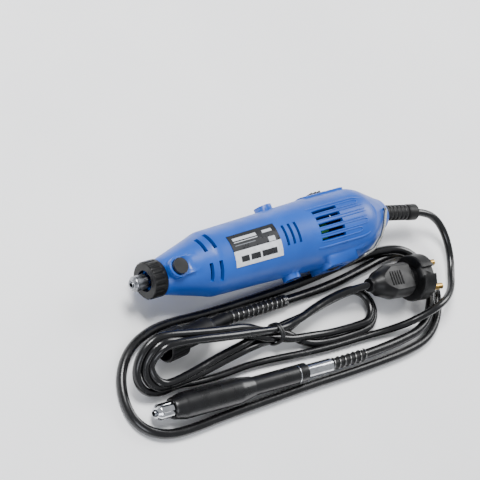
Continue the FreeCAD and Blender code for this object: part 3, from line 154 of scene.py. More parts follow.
def raised(material, height, depth, under=None):
    """Bump whose full height is depth metres, laid over another bump if there is one."""
    sockets = {"Height": height, "Distance": depth, "Strength": 1.0}
    if under is not None:
        sockets["Normal"] = under
    return add(material, "ShaderNodeBump", sockets).outputs["Normal"]


# ---------------------------------------------------------------- finishes

# At Scale 1 the Wave node draws about one band in this many units.
WAVE_BAND = 1 / math.pi


def moulded(name, dark, light, rough, grain, depth, ior=1.53, sheen=0.0, shine=0.5):
    """Injection-moulded plastic: a spark-eroded grain, slow tone drift and rubbed, smoother patches."""
    material, shader, place = started(name, IOR=ior, Specular_IOR_Level=shine)
    slow = spots(material, place, 0.030, 3)
    fine = spots(material, place, grain, 2)
    rubbed = spots(material, place, 0.009, 4)
    joined(material, shader, "Base Color", two_tones(material, slow, dark, light))
    joined(material, shader, "Roughness", spread(material, rubbed, *rough))
    joined(material, shader, "Normal", raised(material, fine, depth))
    if sheen:
        shader.inputs["Sheen Weight"].default_value = sheen
    return material


def turned_metal(name, dark, light, rough, pitch, depth, axis="X"):
    """Metal turned on a lathe: fine rings across the axis, and a few longer wavering marks in the shine."""
    material, shader, place = started(name, Metallic=1.0)
    rings = add(
        material,
        "ShaderNodeTexWave",
        {"Vector": place, "Scale": WAVE_BAND / pitch, "Distortion": 0.6, "Detail": 2.0, "Detail Scale": 0.4},
        wave_type="BANDS",
        bands_direction=axis,
    )
    worn = spots(material, place, 0.004, 4)
    joined(material, shader, "Base Color", two_tones(material, worn, dark, light))
    joined(material, shader, "Roughness", spread(material, worn, *rough))
    joined(material, shader, "Normal", raised(material, rings.outputs["Fac"], depth))
    return material


# ABS, spark-eroded mould: saturated blue, a broad soft highlight, a grain that is just seen near it.
case_blue = moulded("blue_moulded_abs", "07459c", "0c50ae", (0.34, 0.44), 0.0007, 0.000022)

# Glass-filled nylon, moulded: near black, a duller and coarser surface than the case.
black_nylon = moulded("black_moulded_nylon", "070708", "0d0d0f", (0.36, 0.50), 0.0006, 0.000025, shine=0.3)

# ABS shells of the handpiece, fine polish: black with a clearer long highlight.
handpiece_black = moulded("black_polished_abs", "080809", "0f0f11", (0.24, 0.36), 0.0012, 0.000012)

# Thermoplastic rubber, moulded: matt, slightly dusty black, with a soft bloom at its edges.
boot_rubber = moulded(
    "black_moulded_rubber",
    "070708",
    "0d0d0e",
    (0.42, 0.58),
    0.0009,
    0.00003,
    ior=1.5,
    sheen=0.02,
    shine=0.3,
)

# Plug of soft PVC moulded round its pins: dull black, with rubbed shoulders a little brighter.
plug_pvc = moulded("black_moulded_pvc", "060607", "0d0d0e", (0.34, 0.50), 0.0008, 0.00003, 1.52, shine=0.28)


def extruded(name, dark, light, rough, wander):
    """PVC sheath off an extruder: glossy, with slow waves in the skin that break up a long highlight."""
    material, shader, place = started(name, IOR=1.53)
    skin = spots(material, place, wander, 3)
    dust = spots(material, place, 0.0016, 4)
    joined(material, shader, "Base Color", two_tones(material, dust, dark, light))
    joined(material, shader, "Roughness", spread(material, skin, *rough))
    long_wave = raised(material, skin, 0.00025)
    joined(material, shader, "Normal", raised(material, dust, 0.000012, long_wave))
    return material


# Extruded PVC: black, semi-gloss, a thin bright line along its upper side.
cord_pvc = extruded("black_extruded_pvc", "070708", "0e0e10", (0.17, 0.28), 0.012)
sheath_pvc = extruded("black_sheath_pvc", "080809", "101012", (0.20, 0.32), 0.016)

# Nylon band, drawn: thin black tie with faint lengthwise lines.
tie_nylon = moulded("black_drawn_nylon", "0b0b0c", "151517", (0.30, 0.42), 0.0005, 0.00002)

# Carbon steel, turned and oiled: grey, satin rings.
turned_steel = turned_metal("turned_steel", "84868a", "a9abb0", (0.24, 0.38), 0.00035, 0.000010)

# Bearing steel, ground: a little darker and finer.
ground_steel = turned_metal("ground_steel", "6f7277", "94979c", (0.18, 0.30), 0.00022, 0.000006)

# Nickel-chrome plate over polished brass: bright, hardly any marks.
chrome_plate = turned_metal("chrome_plate", "c9cbcf", "e2e3e6", (0.07, 0.16), 0.0009, 0.000004)

# Free-cutting brass, drawn: warm, with faint tarnish.
drawn_brass = turned_metal("drawn_brass", "9c7a3a", "c8a55a", (0.22, 0.36), 0.0004, 0.000008)


def wire(name, dark, light, rough):
    """Drawn wire: lengthwise die marks too fine to see, drawn as 1 mm flecks in the shine."""
    material, shader, place = started(name, Metallic=1.0)
    fleck = spots(material, place, 0.001, 3)
    joined(material, shader, "Base Color", two_tones(material, fleck, dark, light))
    joined(material, shader, "Roughness", spread(material, fleck, *rough))
    return material


# Music wire, oiled: silvery, with darker flecks.
spring_wire = wire("oiled_spring_wire", "5d5d5f", "a09f9c", (0.20, 0.34))

# Zinc-plated wire for the hanging loop: dull grey, slightly yellowed.
bail_wire = wire("zinc_plated_wire", "6d6e6e", "96968f", (0.26, 0.42))


# The windings' wire and the stampings' sheet are both half a millimetre thick.
WIRE_OR_SHEET = 0.0005


def wound_copper():
    """Enamelled copper winding: wires side by side, drawn as bands, brown-orange under clear enamel."""
    material, shader, place = started("enamelled_copper", Metallic=1.0, Coat_Weight=0.6, Coat_Roughness=0.12)
    bands = add(
        material,
        "ShaderNodeTexWave",
        {"Vector": place, "Scale": WAVE_BAND / WIRE_OR_SHEET, "Distortion": 1.2, "Detail": 1.0},
        bands_direction="DIAGONAL",
    )
    worn = spots(material, place, 0.003, 3)
    joined(material, shader, "Base Color", two_tones(material, worn, "8c4423", "c0693a"))
    joined(material, shader, "Roughness", spread(material, worn, 0.22, 0.4))
    joined(material, shader, "Normal", raised(material, bands.outputs["Fac"], 0.00012))
    return material


copper_wire = wound_copper()


def stacked_sheet():
    """Silicon steel stampings pressed in a stack: the sheets are seen as lines across the axis."""
    material, shader, place = started("stacked_laminations", Metallic=1.0)
    lines = add(
        material,
        "ShaderNodeTexWave",
        {"Vector": place, "Scale": WAVE_BAND / WIRE_OR_SHEET, "Distortion": 0.1},
        bands_direction="X",
    )
    varnish = spots(material, place, 0.005, 3)
    joined(material, shader, "Base Color", two_tones(material, varnish, "3b3c3f", "5c5d61"))
    joined(material, shader, "Roughness", spread(material, varnish, 0.4, 0.6))
    joined(material, shader, "Normal", raised(material, lines.outputs["Fac"], 0.00006))
    return material


laminations = stacked_sheet()

# Pressed carbon with copper dust: dull grey-black, a fine sparkle of pores.
pressed_carbon = moulded("pressed_carbon", "1c1b1b", "2e2c2b", (0.5, 0.7), 0.0004, 0.00005)


def solder_mask():
    """Glass-fibre board under green lacquer: 1.5 mm copper tracks show as paler stripes."""
    material, shader, place = started("lacquered_board", IOR=1.5, Coat_Weight=0.3, Coat_Roughness=0.15)
    tracks = add(
        material,
        "ShaderNodeTexBrick",
        {
            "Vector": place,
            "Scale": 1 / 0.006,
            "Mortar Size": 0.12,
            "Color1": linear("1c5a34"),
            "Color2": linear("1f6339"),
            "Mortar": linear("37804f"),
        },
    )
    weave = spots(material, place, 0.0008, 2)
    joined(material, shader, "Base Color", tracks.outputs["Color"])
    joined(material, shader, "Roughness", spread(material, weave, 0.28, 0.44))
    joined(material, shader, "Normal", raised(material, weave, 0.00003))
    return material


board_green = solder_mask()

# Phenolic switch case, compression moulded: brown-black, dull.
switch_case = moulded("phenolic_switch_case", "1d1b1a", "2b2826", (0.4, 0.55), 0.0009, 0.00003)


# The label's print: where black meets silver, in degrees round the tool, and its blank bars.
PLATE_SPLIT = -5.0
PLATE_BARS = (
    (3.0, 24.0, 12.5, 18.0, "b4b7bc"),
    (3.0, 24.0, 9.0, 10.2, "b4b7bc"),
    (3.0, 21.0, 3.4, 4.6, "6d7177"),
    (29.5, 38.0, 13.0, 18.0, "b4b7bc"),
    (32.0, 38.0, -4.0, 4.0, "b4b7bc"),
    (5.0, 12.0, -25.0, -15.0, "1d1e21"),
    (13.5, 22.0, -25.0, -15.0, "1d1e21"),
    (23.5, 37.0, -25.0, -15.0, "1d1e21"),
)


def printed_foil(low, high):
    """Metallised label: black print over its far half, plain silver on its near half, and blank bars."""
    material, shader, place = started("printed_foil", IOR=1.5)
    centred = add(material, "ShaderNodeMapping", {"Vector": place, "Location": (-low[0], -AXIS_Y, -AXIS_Z)})
    parts = add(material, "ShaderNodeSeparateXYZ", {"Vector": centred.outputs["Vector"]})
    angle = add(
        material,
        "ShaderNodeMath",
        {0: parts.outputs["Y"], 1: parts.outputs["Z"]},
        operation="ARCTAN2",
    ).outputs[0]
    along = parts.outputs["X"]

    def between(value, start, end):
        """1 where value is from start to end, else 0."""
        over = add(material, "ShaderNodeMath", {0: value, 1: start}, operation="GREATER_THAN").outputs[0]
        under = add(material, "ShaderNodeMath", {0: value, 1: end}, operation="LESS_THAN").outputs[0]
        return add(material, "ShaderNodeMath", {0: over, 1: under}, operation="MULTIPLY").outputs[0]

    def bar(x0, x1, a0, a1):
        """1 on a blank bar, given along the tool in millimetres and round it in degrees."""
        across = between(angle, math.radians(a0), math.radians(a1))
        length = between(along, x0 / 1000, x1 / 1000)
        return add(material, "ShaderNodeMath", {0: across, 1: length}, operation="MULTIPLY").outputs[0]

    def printed(under, colour, where):
        """Prints one colour over another where the mask is 1. The colours are inputs 6 and 7 and output 2."""
        sockets = {0: where, 6: under, 7: linear(colour)}
        return add(material, "ShaderNodeMix", sockets, data_type="RGBA").outputs[2]

    scuffs = spots(material, place, 0.004, 5)
    ground = two_tones(material, scuffs, "b9bcc0", "cfd2d6")
    colour = printed(ground, "1b1c1f", between(angle, math.radians(PLATE_SPLIT), math.radians(60)))
    for x0, x1, a0, a1, tone in PLATE_BARS:
        colour = printed(colour, tone, bar(x0, x1, a0, a1))
    joined(material, shader, "Base Color", colour)
    joined(material, shader, "Roughness", spread(material, scuffs, 0.24, 0.40))
    joined(material, shader, "Normal", raised(material, scuffs, 0.00002))
    return material


label_foil = printed_foil(*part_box("name_plate"))

FINISHES = {
    "housing_upper": case_blue,
    "housing_lower": case_blue,
    "name_plate": label_foil,
    "nose_ring": black_nylon,
    "spindle": ground_steel,
    "armature_core": laminations,
    "armature_windings": copper_wire,
    "commutator": drawn_brass,
    "cooling_fan": black_nylon,
    "front_bearing": ground_steel,
    "rear_bearing": ground_steel,
    "stator_core": laminations,
    "field_coils": copper_wire,
    "collet_nut": turned_steel,
    "collet": ground_steel,
    "lock_button": handpiece_black,
    "lock_pin": ground_steel,
    "lock_spring": spring_wire,
    "brush_holders": drawn_brass,
    "carbon_brushes": pressed_carbon,
    "brush_springs": spring_wire,
    "brush_caps": black_nylon,
    "speed_dial": black_nylon,
    "speed_board": board_green,
    "power_switch": switch_case,
    "switch_slider": black_nylon,
    "hanging_bail": bail_wire,
    "housing_screws": turned_steel,
    "cord_clamp": black_nylon,
    "strain_relief_boot": boot_rubber,
    "mains_cord_a": cord_pvc,
    "mains_hank": cord_pvc,
    "hank_tie": tie_nylon,
    "mains_cord_b": cord_pvc,
    "plug_body": plug_pvc,
    "plug_pins": drawn_brass,
    "flex_sheath": sheath_pvc,
    "coupler_spring": spring_wire,
    "handpiece_spring": spring_wire,
    "coupler_sleeve": black_nylon,
    "coupler_body": black_nylon,
    "coupler_nut": black_nylon,
    "coupler_collar": chrome_plate,
    "drive_tip": ground_steel,
    "handpiece_front_shell": handpiece_black,
    "handpiece_rear_shell": handpiece_black,
    "handpiece_sleeve": chrome_plate,
    "handpiece_spindle": ground_steel,
    "handpiece_bearings": ground_steel,
    "handpiece_collet_nut": chrome_plate,
    "handpiece_collet": ground_steel,
}
for piece_name, finish in FINISHES.items():
    cad = frame["nodes"][piece_name]
    cad.data.materials.clear()
    cad.data.materials.append(finish)

# ---------------------------------------------------------------- making pieces


def shown(name, mesh, finish, body="tool"):
    """Puts a mesh in the scene at the origin, with its finish, riding on a body."""
    made = bpy.data.objects.new(name, mesh)
    bpy.context.scene.collection.objects.link(made)
    mesh.materials.clear()
    mesh.materials.append(finish)
    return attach(made, body)


def smooth_skin(node, body, angle=28.0):
    """A copy of a CAD piece with its points merged, its round faces smooth and its edges kept sharp."""
    cad = frame["nodes"][node]
    mesh = cad.data.copy()
    work = bmesh.new()
    work.from_mesh(mesh)
    bmesh.ops.remove_doubles(work, verts=work.verts, dist=2e-6)
    if node == "lock_button":
        # Its flat top becomes one face, so that the light runs evenly over it.
        bmesh.ops.dissolve_limit(work, angle_limit=math.radians(0.1), verts=work.verts, edges=work.edges)
    work.to_mesh(mesh)
    work.free()
    mesh.shade_smooth()
    mesh.set_sharp_from_angle(angle=math.radians(angle))
    made = shown(node + "_skin", mesh, FINISHES[node], body)
    even = made.modifiers.new("even_shade", "WEIGHTED_NORMAL")
    even.keep_sharp = True
    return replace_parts(made, node)


def body_with(node):
    """The name of the body that a CAD piece rides on."""
    return frame["nodes"][node]["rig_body"]


def net(rings, closed_around=True, caps=True):
    """Points and faces of a grid: rings is (n, m, 3), joined round each ring, with a pole at each end."""
    n, m, _ = rings.shape
    points = rings.reshape(-1, 3)
    i = np.arange(n - 1)[:, None]
    j = np.arange(m if closed_around else m - 1)[None, :]
    k = (j + 1) % m
    quads = np.stack([i * m + j, i * m + k, (i + 1) * m + k, (i + 1) * m + j], -1).reshape(-1, 4)
    faces = quads.tolist()
    if caps:
        points = np.vstack([points, rings[0].mean(0), rings[-1].mean(0)])
        j = np.arange(m)
        k = (j + 1) % m
        first, last = n * m, n * m + 1
        faces += np.stack([k, j, np.full(m, first)], -1).tolist()
        faces += np.stack([(n - 1) * m + j, (n - 1) * m + k, np.full(m, last)], -1).tolist()
    return points, faces


def mesh_of(name, points, faces, outward=True):
    """A smooth-shaded mesh from points and faces, its faces turned outwards."""
    mesh = bpy.data.meshes.new(name)
    mesh.from_pydata(points.tolist(), [], faces)
    mesh.validate()
    if outward:
        work = bmesh.new()
        work.from_mesh(mesh)
        bmesh.ops.recalc_face_normals(work, faces=work.faces)
        work.to_mesh(mesh)
        work.free()
    mesh.shade_smooth()
    mesh.set_sharp_from_angle(angle=math.radians(40))
    return mesh


# ---------------------------------------------------------------- cords

# Where the flexible shaft leaves the handpiece, runs twice round the bench and ends in the coupler.
FLEX_ROUTE = (
    (0.0174, -0.05782, 0.0095),
    (0.0394, -0.05882, 0.0095),
    (0.0654, -0.05872, 0.0090),
    (0.0904, -0.05752, 0.0087),
    (0.1114, -0.05492, 0.0087),
    (0.1252, -0.04692, 0.0087),
    (0.1357, -0.03292, 0.0089),
    (0.1391, -0.01792, 0.0094),
    (0.1364, -0.00632, 0.0102),
    (0.1291, 0.00308, 0.0112),
    (0.1184, 0.00868, 0.0112),
    (0.1054, 0.01118, 0.0078),
    (0.0884, 0.01168, 0.0036),
    (0.0654, 0.01008, 0.0036),
    (0.0424, 0.00768, 0.0036),
    (0.0184, 0.00608, 0.0036),
    (-0.0106, 0.00518, 0.0036),
    (-0.0446, 0.00468, 0.0036),
    (-0.0726, 0.00488, 0.0036),
    (-0.0986, 0.00648, 0.0036),
    (-0.1186, 0.00408, 0.0036),
    (-0.1356, -0.00292, 0.0036),
    (-0.1478, -0.01492, 0.0036),
    (-0.1540, -0.02942, 0.0036),
    (-0.1548, -0.04392, 0.0036),
    (-0.1504, -0.05492, 0.0036),
    (-0.1412, -0.06272, 0.0036),
    (-0.1286, -0.06712, 0.0036),
    (-0.1106, -0.06812, 0.0036),
    (-0.0816, -0.06692, 0.0036),
    (-0.0426, -0.06682, 0.0036),
    (-0.0016, -0.06642, 0.0036),
    (0.0374, -0.06732, 0.0036),
    (0.0704, -0.06712, 0.0036),
    (0.0954, -0.06632, 0.0036),
    (0.1174, -0.06312, 0.0036),
    (0.1329, -0.05392, 0.0036),
    (0.1444, -0.03892, 0.0036),
    (0.1479, -0.02242, 0.0036),
    (0.1450, -0.00872, 0.0036),
    (0.1374, 0.00108, 0.0036),
    (0.1259, 0.00628, 0.0036),
    (0.1104, 0.00628, 0.0036),
    (0.0884, 0.00288, 0.0036),
    (0.0644, -0.00052, 0.0036),
    (0.0414, -0.00232, 0.0036),
    (0.0194, -0.00292, 0.0042),
    (-0.0066, -0.00332, 0.0066),
    (-0.0316, -0.00382, 0.0094),
    (-0.0556, -0.00392, 0.0115),
)

# The mains lead from the boot to the left loop of its hank.
MAINS_ROUTE = (
    (0.1400, 0.02968, 0.0230),
    (0.1509, 0.02718, 0.0222),
    (0.1619, 0.02088, 0.0189),
    (0.1684, 0.01148, 0.0146),
    (0.1706, 0.00028, 0.0110),
    (0.1690, -0.01152, 0.0086),
    (0.1634, -0.02232, 0.0084),
    (0.1559, -0.03152, 0.0116),
    (0.1434, -0.03892, 0.0170),
    (0.1289, -0.04352, 0.0200),
    (0.1144, -0.04632, 0.0162),
    (0.1004, -0.04732, 0.0092),
    (0.0844, -0.04692, 0.0042),
    (0.0644, -0.04592, 0.0030),
    (0.0324, -0.04532, 0.0030),
    (0.0024, -0.04332, 0.0030),
    (-0.0226, -0.04052, 0.0030),
    (-0.0466, -0.03872, 0.0030),
    (-0.0706, -0.03972, 0.0030),
    (-0.0926, -0.03912, 0.0036),
    (-0.1126, -0.03642, 0.0066),
)

# The lead's last stretch, out of the tie and over the hank to the plug.
PLUG_ROUTE = (
    (-0.0146, -0.02292, 0.0148),
    (0.0024, -0.02052, 0.0152),
    (0.0214, -0.01572, 0.0150),
    (0.0394, -0.01252, 0.0156),
    (0.0544, -0.01212, 0.0196),
    (0.0694, -0.01292, 0.0220),
)


# The hank's left loop leans on the turns below it: the slope's cosine and sine, and its foot, in mm.
SLOPE_RUN = 0.777
SLOPE_RISE = 0.629
SLOPE_FOOT_Y = -75.0
SLOPE_FOOT_Z = 4.2

# Where the tie holds the hank, in mm along the bench, and how far to its left the strands spread.
TIE_X = 99.0
TIE_LEFT_X = 86.0


def left_point(x, s, n=0.0):
    """A place on the hank's left loop, in mm: x along the bench, s up the slope and n off it."""
    y = SLOPE_FOOT_Y + SLOPE_RUN * s - SLOPE_RISE * n
    z = SLOPE_FOOT_Z + SLOPE_RISE * s + SLOPE_RUN * n
    return flat_point(x, y, z)


def flat_point(x, y, z):
    """A place on the bench, in mm."""
    return np.array((x, y, z)) / 1000 + BENCH


# The left loops, in mm: centre x and s, radius, height off the slope, shift of the upper run and its lift.
LEFT_LOOPS = (
    (-8.0, 24.0, 20.9, 0.0, 0.0, 0.0),
    (-5.4, 24.4, 17.0, 2.4, -5.6, 0.0),
    (-3.0, 24.6, 14.2, 4.6, -2.8, 5.0),
)
# The right loops, in mm: centre x and y, radius, height and how far out the lower run lies.
RIGHT_LOOPS = ((184.5, -60.0, 15.6, 3.1, 1.6), (181.4, -59.0, 12.6, 8.2, -0.4))
# The y and z of each strand in the tie, in mm: first from left to right, then from right to left.
OUT_SLOTS = ((-56.8, 10.4), (-62.2, 10.6), (-58.6, 16.2))
BACK_SLOTS = ((-62.3, 4.6), (-56.7, 4.8))

# A half circle of the hank is seven points 30 degrees apart. They stand 1/cos(15 deg) outside it,
# because the line runs that much inside them.
HALF_CIRCLE = [math.radians(30 * step) for step in range(7)]
CORNER_OUT = 1 / math.cos(math.radians(15))
LOWEST = math.radians(270)


def into_left_loop(turn, lean):
    """The lower run of a left loop, from the tie to its half circle."""
    y, z = BACK_SLOTS[turn - 1]
    low = 8.6 + 5.4 * (turn - 1)
    return [
        flat_point(TIE_X, y, z),
        flat_point(TIE_LEFT_X, y + 0.4 * (turn - 1), z + 3.6),
        left_point(68.0, low + 4.0, -2.0),
        left_point(42.0, low + 0.8, -0.6),
        left_point(18.0, low - 1.6, lean * 0.8),
    ]


def left_loop(turn):
    """A left loop from its half circle, up the slope, back to just left of the tie."""
    cx, cs, r, lean, shift, lift = LEFT_LOOPS[turn]
    reach = r * CORNER_OUT
    points = []
    for step in HALF_CIRCLE:
        a = LOWEST - step
        points.append(left_point(cx + reach * math.cos(a), cs + reach * math.sin(a), lean * abs(math.sin(a))))
    for x, fall in ((22.0, 0.0), (46.0, 0.3), (70.0, 1.6)):
        points.append(left_point(x, 44.9 - 0.187 * (x + 8.0) + shift, lift - fall * 1.4))
    y, z = OUT_SLOTS[turn]
    return points + [flat_point(TIE_LEFT_X, y + 2.0, z + 3.2)]


def right_loop(turn):
    """A right loop from the tie, out along its lower run, round and back to just right of the tie."""
    cx, cy, r, height, bulge = RIGHT_LOOPS[turn]
    reach = r * CORNER_OUT
    y, z = OUT_SLOTS[turn]
    points = [
        flat_point(TIE_X, y, z),
        flat_point(112.0, y - 4.4, (z + height) / 2 + 0.4),
        flat_point(128.0, cy - r * 0.72 - bulge, height - 2.0 * turn + 0.5),
        flat_point(152.0, cy - r * 0.96 - bulge, height - 3.0 * turn),
    ]
    for step in HALF_CIRCLE:
        a = LOWEST + step
        points.append(flat_point(cx + reach * math.cos(a), cy + reach * math.sin(a), height))
    y, z = BACK_SLOTS[turn]
    return points + [
        flat_point(156.0, cy + r * 0.82, height),
        flat_point(132.0, cy + r * 0.44, height - 0.3 * turn),
        flat_point(112.0, y + 2.4, (z + height) / 2),
    ]


def hank_turns():
    """Three left loops and two right loops that cross in the tie."""
    points = []
    for turn, (_, _, _, lean, _, _) in enumerate(LEFT_LOOPS):
        if turn:
            points += into_left_loop(turn, lean)
        points += left_loop(turn)
        if turn < len(RIGHT_LOOPS):
            points += right_loop(turn)
    return points


def laid_cord(name, points, diameter, finish):
    """A round cord along one smooth NURBS line with these control points."""
    data = bpy.data.curves.new(name, "CURVE")
    data.dimensions = "3D"
    spline = data.splines.new("NURBS")
    spline.points.add(len(points) - 1)
    for point, place in zip(spline.points, points):
        point.co = (float(place[0]), float(place[1]), float(place[2]), 1.0)
    spline.order_u = 3
    spline.use_endpoint_u = True
    spline.resolution_u = 10
    data.bevel_depth = diameter / 2
    data.bevel_resolution = 6
    data.use_fill_caps = True
    data.materials.append(finish)
    made = bpy.data.objects.new(name, data)
    bpy.context.scene.collection.objects.link(made)
    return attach(made, "tool")


def line_of(cord):
    """The points of a cord's own line, read from its spline with the bevel off."""
    data = cord.data.copy()
    data.bevel_depth = 0.0
    bare = bpy.data.objects.new("bare_line", data)
    bpy.context.scene.collection.objects.link(bare)
    graph = bpy.context.evaluated_depsgraph_get()
    graph.update()
    mesh = bpy.data.meshes.new_from_object(bare.evaluated_get(graph))
    points = np.zeros(len(mesh.vertices) * 3)
    mesh.vertices.foreach_get("co", points)
    bpy.data.objects.remove(bare)
    return points.reshape(-1, 3)


MAINS_THICK = 0.0058
FLEX_THICK = 0.0070

mains = laid_cord("mains_lead", [*MAINS_ROUTE, *hank_turns(), *PLUG_ROUTE], MAINS_THICK, cord_pvc)
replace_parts(mains, "mains_cord_a", "mains_hank", "mains_cord_b")

flex = laid_cord("flexible_shaft", FLEX_ROUTE, FLEX_THICK, sheath_pvc)
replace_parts(flex, "flex_sheath")


def reach_of(points):
    """How far along a line of points each point lies."""
    steps = np.linalg.norm(np.diff(points, axis=0), axis=1)
    return np.concatenate([[0.0], np.cumsum(steps)])


def place_on(points, s):
    """The places at distances s along a line of points."""
    at = reach_of(points)
    return np.stack([np.interp(s, at, points[:, k]) for k in range(3)], -1)


def unit(vectors):
    """Each vector at length 1."""
    return vectors / np.linalg.norm(vectors, axis=-1, keepdims=True)


def round_tube(path, first, second, radius, sides):
    """Rings of a tube: path + radius (cos b * first + sin b * second), for b once round."""
    b = np.linspace(0, 2 * np.pi, sides, endpoint=False)[None, :, None]
    size = np.reshape(radius, (-1, 1, 1))
    return path[:, None, :] + size * (np.cos(b) * first[:, None, :] + np.sin(b) * second[:, None, :])


# ---------------------------------------------------------------- springs

# How far to each side of a place the line's direction is taken.
LOOK_ALONG = 0.0008
# Steps in which a spring's turns are counted along its line.
COUNT_STEPS = 4000
SPRING_STEPS_PER_TURN = 18


def coiled_wire(name, line, start, end, radius, thick, turns_at, sides=10, aside=(0.0, 0.0, 1.0)):
    """A wire tube wound round a line.

    The wire's middle is line(s) + radius (cos a * side + sin a * up), where the angle a grows by
    2 pi per pitch, and the pitch follows turns_at(s), turns per metre along the line. Round that middle
    runs a circle of half the wire's thickness.
    """
    walk = np.linspace(start, end, COUNT_STEPS)
    turn = np.concatenate([[0.0], np.cumsum((turns_at(walk[1:]) + turns_at(walk[:-1])) / 2 * np.diff(walk))])
    turns = np.linspace(0, turn[-1], int(turn[-1] * SPRING_STEPS_PER_TURN))
    s = np.interp(turns, turn, walk)
    a = 2 * np.pi * turns[:, None]
    along = unit(place_on(line, s + LOOK_ALONG) - place_on(line, s - LOOK_ALONG))
    side = unit(np.cross(along, aside))
    out = np.cos(a) * side + np.sin(a) * np.cross(side, along)
    path = place_on(line, s) + radius * out
    tangent = unit(np.gradient(path, axis=0))
    second = unit(np.cross(tangent, out))
    first = np.cross(second, tangent)
    return mesh_of(name, *net(round_tube(path, first, second, thick / 2, sides)))


flex_line = line_of(flex)
flex_length = reach_of(flex_line)[-1]


def even_turns(pitch):
    """The same pitch all along."""
    return lambda s: np.full_like(s, 1 / pitch)


def closing_turns(first, then, from_here):
    """One pitch at first, then another past a place on the line."""
    return lambda s: np.where(s < from_here, 1 / first, 1 / then)


def bend_guard(name, line, start, end, radius, sides=28):
    """A soft sleeve inside a bend spring: a circle carried along the line, drawn in at its two ends.

    Within 1.2 mm of an end its radius is radius * (0.88 + 0.12 sqrt(distance / 1.2 mm)).
    """
    s = np.linspace(start, end, 60)
    path = place_on(line, s)
    along = unit(np.gradient(path, axis=0))
    side = unit(np.cross(along, (0.0, 0.0, 1.0)))
    rim = np.minimum(s - start, end - s) / 0.0012
    size = radius * (0.88 + 0.12 * np.sqrt(np.clip(rim, 0, 1)))
    rings = round_tube(path, side, np.cross(side, along), size, sides)
    return shown(name, mesh_of(name, *net(rings)), boot_rubber)


# Both bend springs: radius of the wire's middle, and the wire's thickness.
BEND_SPRING = (0.0042, 0.00105)

handpiece_spring = shown(
    "handpiece_bend_spring",
    coiled_wire("handpiece_bend_spring", flex_line, 0.0005, 0.0335, *BEND_SPRING, even_turns(0.0051)),
    spring_wire,
)
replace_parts(handpiece_spring, "handpiece_spring")
coupler_spring = shown(
    "coupler_bend_spring",
    coiled_wire(
        "coupler_bend_spring",
        flex_line,
        flex_length - 0.0595,
        flex_length - 0.0015,
        *BEND_SPRING,
        closing_turns(0.0013, 0.0049, flex_length - 0.0560),
    ),
    spring_wire,
)
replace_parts(coupler_spring, "coupler_spring")

bend_guard("handpiece_bend_guard", flex_line, 0.0003, 0.0325, 0.0040)
bend_guard("coupler_bend_guard", flex_line, flex_length - 0.0580, flex_length - 0.0005, 0.0040)

# The return spring under the lock button, which closes up as the button goes down.
spring_low, spring_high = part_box("lock_spring")
spring_tall = spring_high.z - spring_low.z
spring_x = (spring_low.x + spring_high.x) / 2
upright = np.array([(spring_x, AXIS_Y, spring_low.z + h * spring_tall) for h in np.linspace(0, 1, 12)])
LOCK_WIRE = 0.0005
lock_coil = shown(
    "lock_return_spring",
    coiled_wire(
        "lock_return_spring",
        upright,
        LOCK_WIRE / 2 + 0.00005,
        spring_tall - LOCK_WIRE / 2 - 0.00005,
        (spring_high.x - spring_low.x) / 2 - LOCK_WIRE / 2 - 0.0001,
        LOCK_WIRE,
        even_turns(spring_tall / 4.5),
        aside=(1.0, 0.0, 0.0),
    ),
    spring_wire,
)
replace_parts(lock_coil, "lock_spring")
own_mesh(lock_coil)

# ---------------------------------------------------------------- the hank's tie


def wrapped_tie(name, centre, half_wide, half_high, thick, turns, pitch, sides=10):
    """A thin cord wound round the waist of the hank.

    Its middle is centre + (pitch * (t - turns / 2), half_wide * c(cos a), half_high * c(sin a)), with a =
    2 pi t for t from 0 to turns and c(v) = sign(v) |v|^0.75, which squares the ellipse a little.
    """
    t = np.linspace(0, turns, int(turns * 60))
    a = 2 * np.pi * t

    def squared(v):
        return np.sign(v) * np.abs(v) ** 0.75

    path = np.stack(
        [pitch * (t - turns / 2), half_wide * squared(np.cos(a)), half_high * squared(np.sin(a))],
        -1,
    )
    tangent = unit(np.gradient(path, axis=0))
    second = unit(np.cross(tangent, (1.0, 0.0, 0.0)))
    first = np.cross(second, tangent)
    rings = round_tube(path, first, second, thick / 2, sides)
    return shown(name, mesh_of(name, *net(rings + centre)), tie_nylon)


tie = wrapped_tie("hank_tie_wrap", flat_point(TIE_X, -59.5, 10.4), 0.0069, 0.0095, 0.0019, 2.0, 0.0019)
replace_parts(tie, "hank_tie")

# ---------------------------------------------------------------- smooth skins on the round mouldings

for skinned in (
    "housing_upper",
    "housing_lower",
    "nose_ring",
    "lock_button",
    "strain_relief_boot",
    "plug_body",
    "plug_pins",
    "handpiece_front_shell",
    "handpiece_rear_shell",
    "handpiece_sleeve",
    "handpiece_collet_nut",
    "handpiece_collet",
    "coupler_body",
    "coupler_nut",
    "coupler_sleeve",
    "coupler_collar",
    "drive_tip",
    "collet_nut",
    "hanging_bail",
    "brush_caps",
    "speed_dial",
    "switch_slider",
    "name_plate",
):
    smooth_skin(skinned, body_with(skinned))

# ---------------------------------------------------------------- mouldings on the case


def case_radius(x):
    """The case's outside radius at x metres behind the nose ring's front, straight between its sections."""
    at = (0.0113, 0.047, 0.055, 0.150, 0.185, 0.199, 0.217, 0.224)
    radius = (0.0121, 0.0217, 0.0233, 0.026, 0.026, 0.0225, 0.013, 0.0076)
    return np.interp(x, at, radius)


